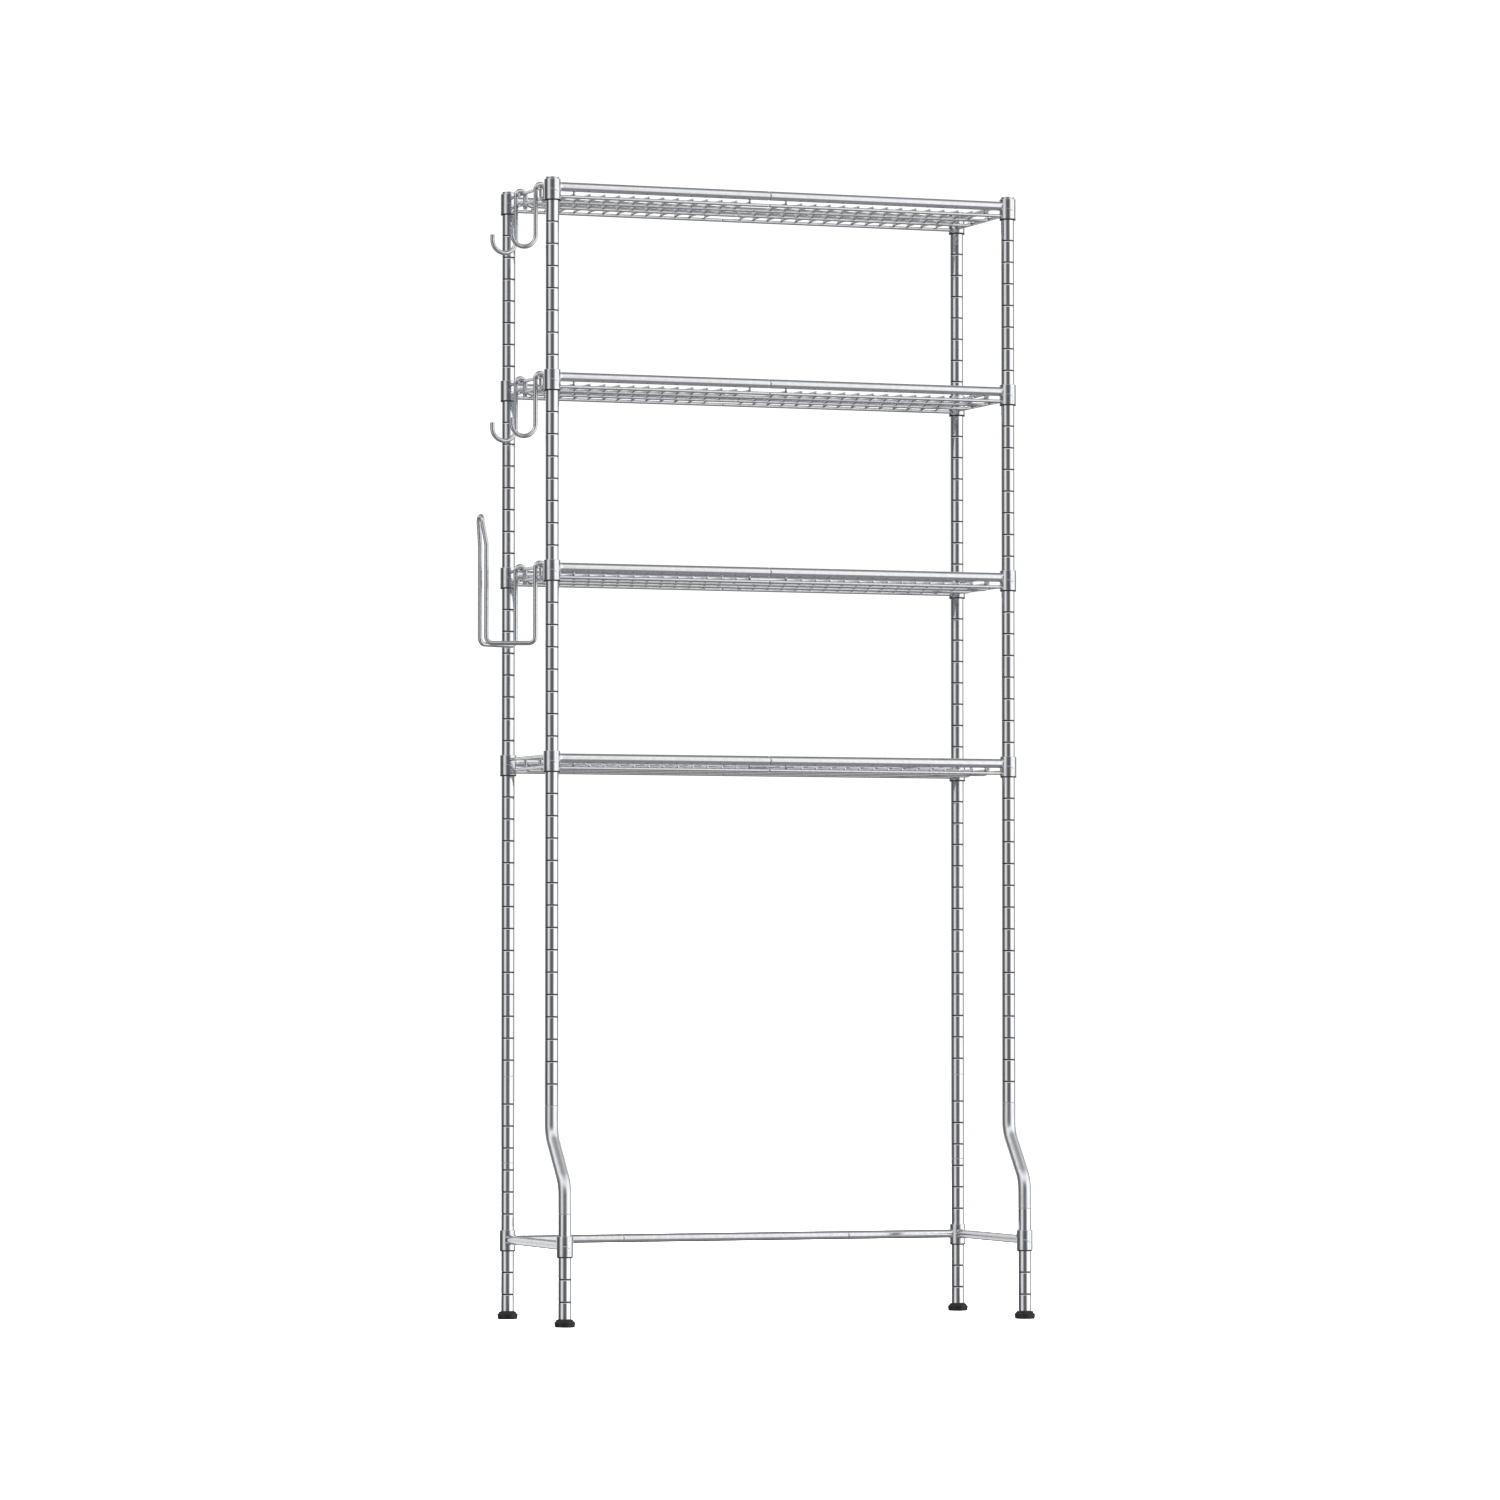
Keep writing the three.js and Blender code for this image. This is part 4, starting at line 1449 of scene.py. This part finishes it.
@dataclass
class SideHook(HangingWire):
    """Single hook bent from one length of wire."""

    tier: Tier = Tier.TOP
    row: Row = Row.FRONT
    drop: float = 71.0
    bend: float = 17.4
    tip: float = 8.0

    def build(self) -> None:
        """Builds the hook."""
        node = f"{self.tier.label}_shelf_{self.row.label}_hook"
        centre = cad_centre(node)
        side_wire_x = cad_centre("front_left_pole_top").x
        crest = self.crest_height(self.tier)
        leg_x = side_wire_x - self.arch
        bend_centre = Vector((leg_x - self.bend, centre.y, crest - self.drop))
        under = half_circle(bend_centre, Vector((self.bend, 0, 0)), Vector((0, 0, -self.bend)), 20)
        tip = Vector((bend_centre.x - self.bend, centre.y, bend_centre.z + self.tip))
        path = [*self.arch_points(side_wire_x, centre.y, crest), *under, tip]
        builder = MeshBuilder()
        builder.sweep(path, self.wire_d / 2, self.sides, burr=self.end_burr)
        self.dress(builder, node, node, "hook_chrome", [WIRE_CHROME])


@dataclass
class RollHolder(HangingWire):
    """Spare roll holder bent from one long wire: two hung legs and an upright spindle."""

    drop: float = 112.0
    reach: float = 62.0
    corner: float = 9.0
    spindle_half: float = 14.0
    shoulder: float = 138.0
    height: float = 178.0
    top_half: float = 8.0
    lean: float = 4.0
    leg_from_middle: float = 42.967

    def build(self) -> None:
        """Builds the holder."""
        node = "spare_roll_holder"
        mid_y = cad_centre(node).y
        side_wire_x = cad_centre("front_left_pole_top").x
        crest = self.crest_height(Tier.MIDDLE)
        bottom = crest - self.drop
        leg_x = side_wire_x - self.arch
        spindle_x = leg_x - self.reach
        crown_z = bottom + self.height - self.top_half
        routes = []
        for sign in (1, -1):
            leg_y = mid_y + sign * self.leg_from_middle
            route = rounded(
                [
                    Vector((leg_x, leg_y, crest - self.arch)),
                    Vector((leg_x, leg_y, bottom)),
                    Vector((spindle_x, mid_y + sign * self.spindle_half, bottom)),
                    Vector((spindle_x, mid_y + sign * self.spindle_half, bottom + self.shoulder)),
                    Vector((spindle_x - self.lean, mid_y + sign * self.top_half, crown_z)),
                ],
                self.corner,
            )
            routes.append(self.arch_points(side_wire_x, leg_y, crest)[:-1] + route[:-1])
        crown = half_circle(
            Vector((spindle_x - self.lean, mid_y, crown_z)),
            Vector((0, self.top_half, 0)),
            Vector((0, 0, self.top_half)),
            10,
        )
        builder = MeshBuilder()
        path = [*routes[0], *crown, *reversed(routes[1])]
        builder.sweep(path, self.wire_d / 2, self.sides, burr=self.end_burr)
        self.dress(builder, node, node, "hook_chrome", [WIRE_CHROME])


# Studio


@dataclass
class Studio:
    """Plain pale floor, large soft panels round the rack, and the camera."""

    finishes: Finishes
    heading_deg: float = 20.57    # the camera looks this far to the right of straight ahead
    pitch_deg: float = 2.02
    eye: tuple[float, float, float] = (-3.2726, -8.7372, 0.4697)
    lens_mm: float = 159.3
    sensor_mm: float = 36.0
    floor_half_m: float = 30.0
    lamp_half_m: float = 4.0
    lamp_height_m: float = 6.0
    lamp_watts: float = 3000.0
    # Brightness of the panels by the angle to the right of the camera, behind it at 180
    panels: Profile = (
        (-180.0, 0.3), (-166.0, 0.35), (-150.0, 1.2), (-130.0, 1.1), (-116.0, 0.4),
        (-98.0, 0.12), (-80.0, 0.1), (-68.0, 0.55),
        (-54.0, 1.1), (-38.0, 0.95), (-22.0, 0.28), (-10.0, 0.17), (10.0, 0.13), (20.0, 0.2),
        (34.0, 0.75), (46.0, 1.6), (66.0, 1.4), (90.0, 1.5), (106.0, 1.3), (120.0, 0.3),
        (134.0, 1.4), (152.0, 1.5), (166.0, 0.4), (180.0, 0.3),
    )
    # Brightness of ceiling and ground by the height angle, used away from the horizon
    dome: Profile = ((-90.0, 0.2), (-60.0, 0.36), (-30.0, 0.34), (-8.0, 0.6), (17.0, 1.1),
                     (34.0, 1.45), (48.0, 1.1), (62.0, 0.5), (78.0, 0.3), (90.0, 0.24))
    # Share of the light that is left, by the angle away from the camera's side of the rack
    beyond: Profile = ((0.0, 1.0), (97.0, 1.0), (116.0, 0.3), (127.0, 0.25), (144.0, 0.9),
                       (180.0, 1.0))
    panel_band_deg: tuple[float, float] = (14.0, 40.0)
    plain_level: float = 1.12     # white seen behind the rack and by the matt floor

    def add_floor(self) -> None:
        """Lays the floor, which is seen directly but not in the chrome."""
        builder = MeshBuilder()
        half = self.floor_half_m / MM
        builder.points = [Vector((x, y, 0)) for x, y in
                          ((-half, -half), (half, -half), (half, half), (-half, half))]
        builder.add_face(0, 1, 2, 3)
        floor = builder.build("studio_floor", [self.finishes.get(FLOOR_PAINT)])
        floor.visible_glossy = False

    def add_lamp(self) -> None:
        """Hangs one large soft lamp above the rack, unseen in the chrome."""
        light = bpy.data.lights.new("overhead_softbox", "AREA")
        light.shape = "SQUARE"
        light.size = 2 * self.lamp_half_m
        light.energy = self.lamp_watts
        lamp = bpy.data.objects.new("overhead_softbox", light)
        lamp.location = (0, 0, self.lamp_height_m)
        lamp.visible_glossy = False
        lamp.visible_camera = False
        bpy.context.scene.collection.objects.link(lamp)

    def angle_ramp(
        self, tree: bpy.types.NodeTree, angle: bpy.types.NodeSocket, stops: Profile
    ) -> bpy.types.NodeSocket:
        """Turns an angle into a brightness by a table.

        Args:
            tree: node tree of the world.
            angle: angle in radians.
            stops: angle in degrees and brightness of each stop.

        Returns:
            The brightness.
        """
        first, last = stops[0][0], stops[-1][0]
        peak = max(level for _, level in stops)
        place = add_node(
            tree,
            "ShaderNodeMapRange",
            {},
            {"Value": angle, "From Min": math.radians(first), "From Max": math.radians(last)},
        )
        ramp = add_node(tree, "ShaderNodeValToRGB", {}, {"Fac": place.outputs["Result"]})
        set_ramp(ramp, [((a - first) / (last - first), level / peak) for a, level in stops])
        scaled = add_node(
            tree, "ShaderNodeMath", {"operation": "MULTIPLY"}, {0: ramp.outputs["Color"], 1: peak}
        )
        return scaled.outputs[0]

    def add_world(self) -> None:
        """Surrounds the rack with soft panels, and shows plain white to the camera."""
        world = bpy.data.worlds.new("studio_surround")
        world.use_nodes = True
        tree = world.node_tree
        tree.nodes.clear()
        heading = math.radians(self.heading_deg)
        back = (-math.sin(heading), -math.cos(heading), 0.0)
        right = (math.cos(heading), -math.sin(heading), 0.0)
        looked = add_node(tree, "ShaderNodeTexCoord").outputs["Generated"]
        parts = []
        for axis in (right, back):
            dot = add_node(
                tree, "ShaderNodeVectorMath", {"operation": "DOT_PRODUCT"}, {0: looked, 1: axis}
            )
            parts.append(dot.outputs["Value"])
        turn = add_node(
            tree, "ShaderNodeMath", {"operation": "ARCTAN2"}, {0: parts[0], 1: parts[1]}
        )
        split = add_node(tree, "ShaderNodeSeparateXYZ", {}, {0: looked})
        climb = add_node(
            tree, "ShaderNodeMath", {"operation": "ARCSINE"}, {0: split.outputs["Z"]}
        )
        panels = self.angle_ramp(tree, turn.outputs[0], self.panels)
        dome = self.angle_ramp(tree, climb.outputs[0], self.dome)
        steep = add_node(tree, "ShaderNodeMath", {"operation": "ABSOLUTE"}, {0: climb.outputs[0]})
        near, far = (math.radians(a) for a in self.panel_band_deg)
        share = add_node(
            tree,
            "ShaderNodeMapRange",
            {"interpolation_type": "SMOOTHSTEP"},
            {"Value": steep.outputs[0], "From Min": near, "From Max": far},
        )
        surround = add_node(
            tree,
            "ShaderNodeMix",
            {"data_type": "FLOAT"},
            {0: share.outputs["Result"], 2: panels, 3: dome},
        )
        away = add_node(tree, "ShaderNodeMath", {"operation": "ARCCOSINE"}, {0: parts[1]})
        fade = self.angle_ramp(tree, away.outputs[0], self.beyond)
        faded = add_node(
            tree,
            "ShaderNodeMath",
            {"operation": "MULTIPLY"},
            {0: surround.outputs[0], 1: fade},
        )
        lit = add_node(
            tree, "ShaderNodeBackground", {}, {"Color": (1, 1, 1, 1), "Strength": faded.outputs[0]}
        )
        plain = add_node(
            tree, "ShaderNodeBackground", {}, {"Color": (1, 1, 1, 1), "Strength": self.plain_level}
        )
        path = add_node(tree, "ShaderNodeLightPath")
        direct = add_node(
            tree,
            "ShaderNodeMath",
            {"operation": "MAXIMUM"},
            {0: path.outputs["Is Camera Ray"], 1: path.outputs["Is Diffuse Ray"]},
        )
        mixed = add_node(
            tree,
            "ShaderNodeMixShader",
            {},
            {0: direct.outputs[0], 1: lit.outputs[0], 2: plain.outputs[0]},
        )
        add_node(tree, "ShaderNodeOutputWorld", {}, {"Surface": mixed.outputs[0]})
        bpy.context.scene.world = world

    def add_camera(self) -> None:
        """Sets up the camera and plain colour handling."""
        lens = bpy.data.cameras.new("studio_camera")
        lens.lens = self.lens_mm
        lens.sensor_width = self.sensor_mm
        lens.clip_end = 200.0
        camera = bpy.data.objects.new("studio_camera", lens)
        camera.location = self.eye
        camera.rotation_euler = (
            math.radians(90 + self.pitch_deg), 0.0, -math.radians(self.heading_deg)
        )
        bpy.context.scene.collection.objects.link(camera)
        bpy.context.scene.camera = camera
        bpy.context.scene.view_settings.view_transform = "Standard"

    def build(self) -> None:
        """Sets up the whole studio."""
        self.add_floor()
        self.add_lamp()
        self.add_world()
        self.add_camera()


def main() -> None:
    """Builds the rack's pieces and the studio."""
    logging.basicConfig(level=logging.INFO, format="%(name)s %(message)s")
    finishes = Finishes()
    for row, side in CORNERS:
        Pole(finishes, row, side).build()
        Sleeve(finishes, row, side, "base").build()
        for tier in Tier:
            Sleeve(finishes, row, side, tier.label).build()
    BaseFrame(finishes).build()
    for tier in Tier:
        for side in Side:
            ShelfHalf(finishes, tier, side).build()
    for tier in (Tier.UPPER, Tier.TOP):
        for row in Row:
            SideHook(finishes, tier=tier, row=row).build()
    RollHolder(finishes).build()
    Studio(finishes).build()


if __name__ == "__main__":
    main()
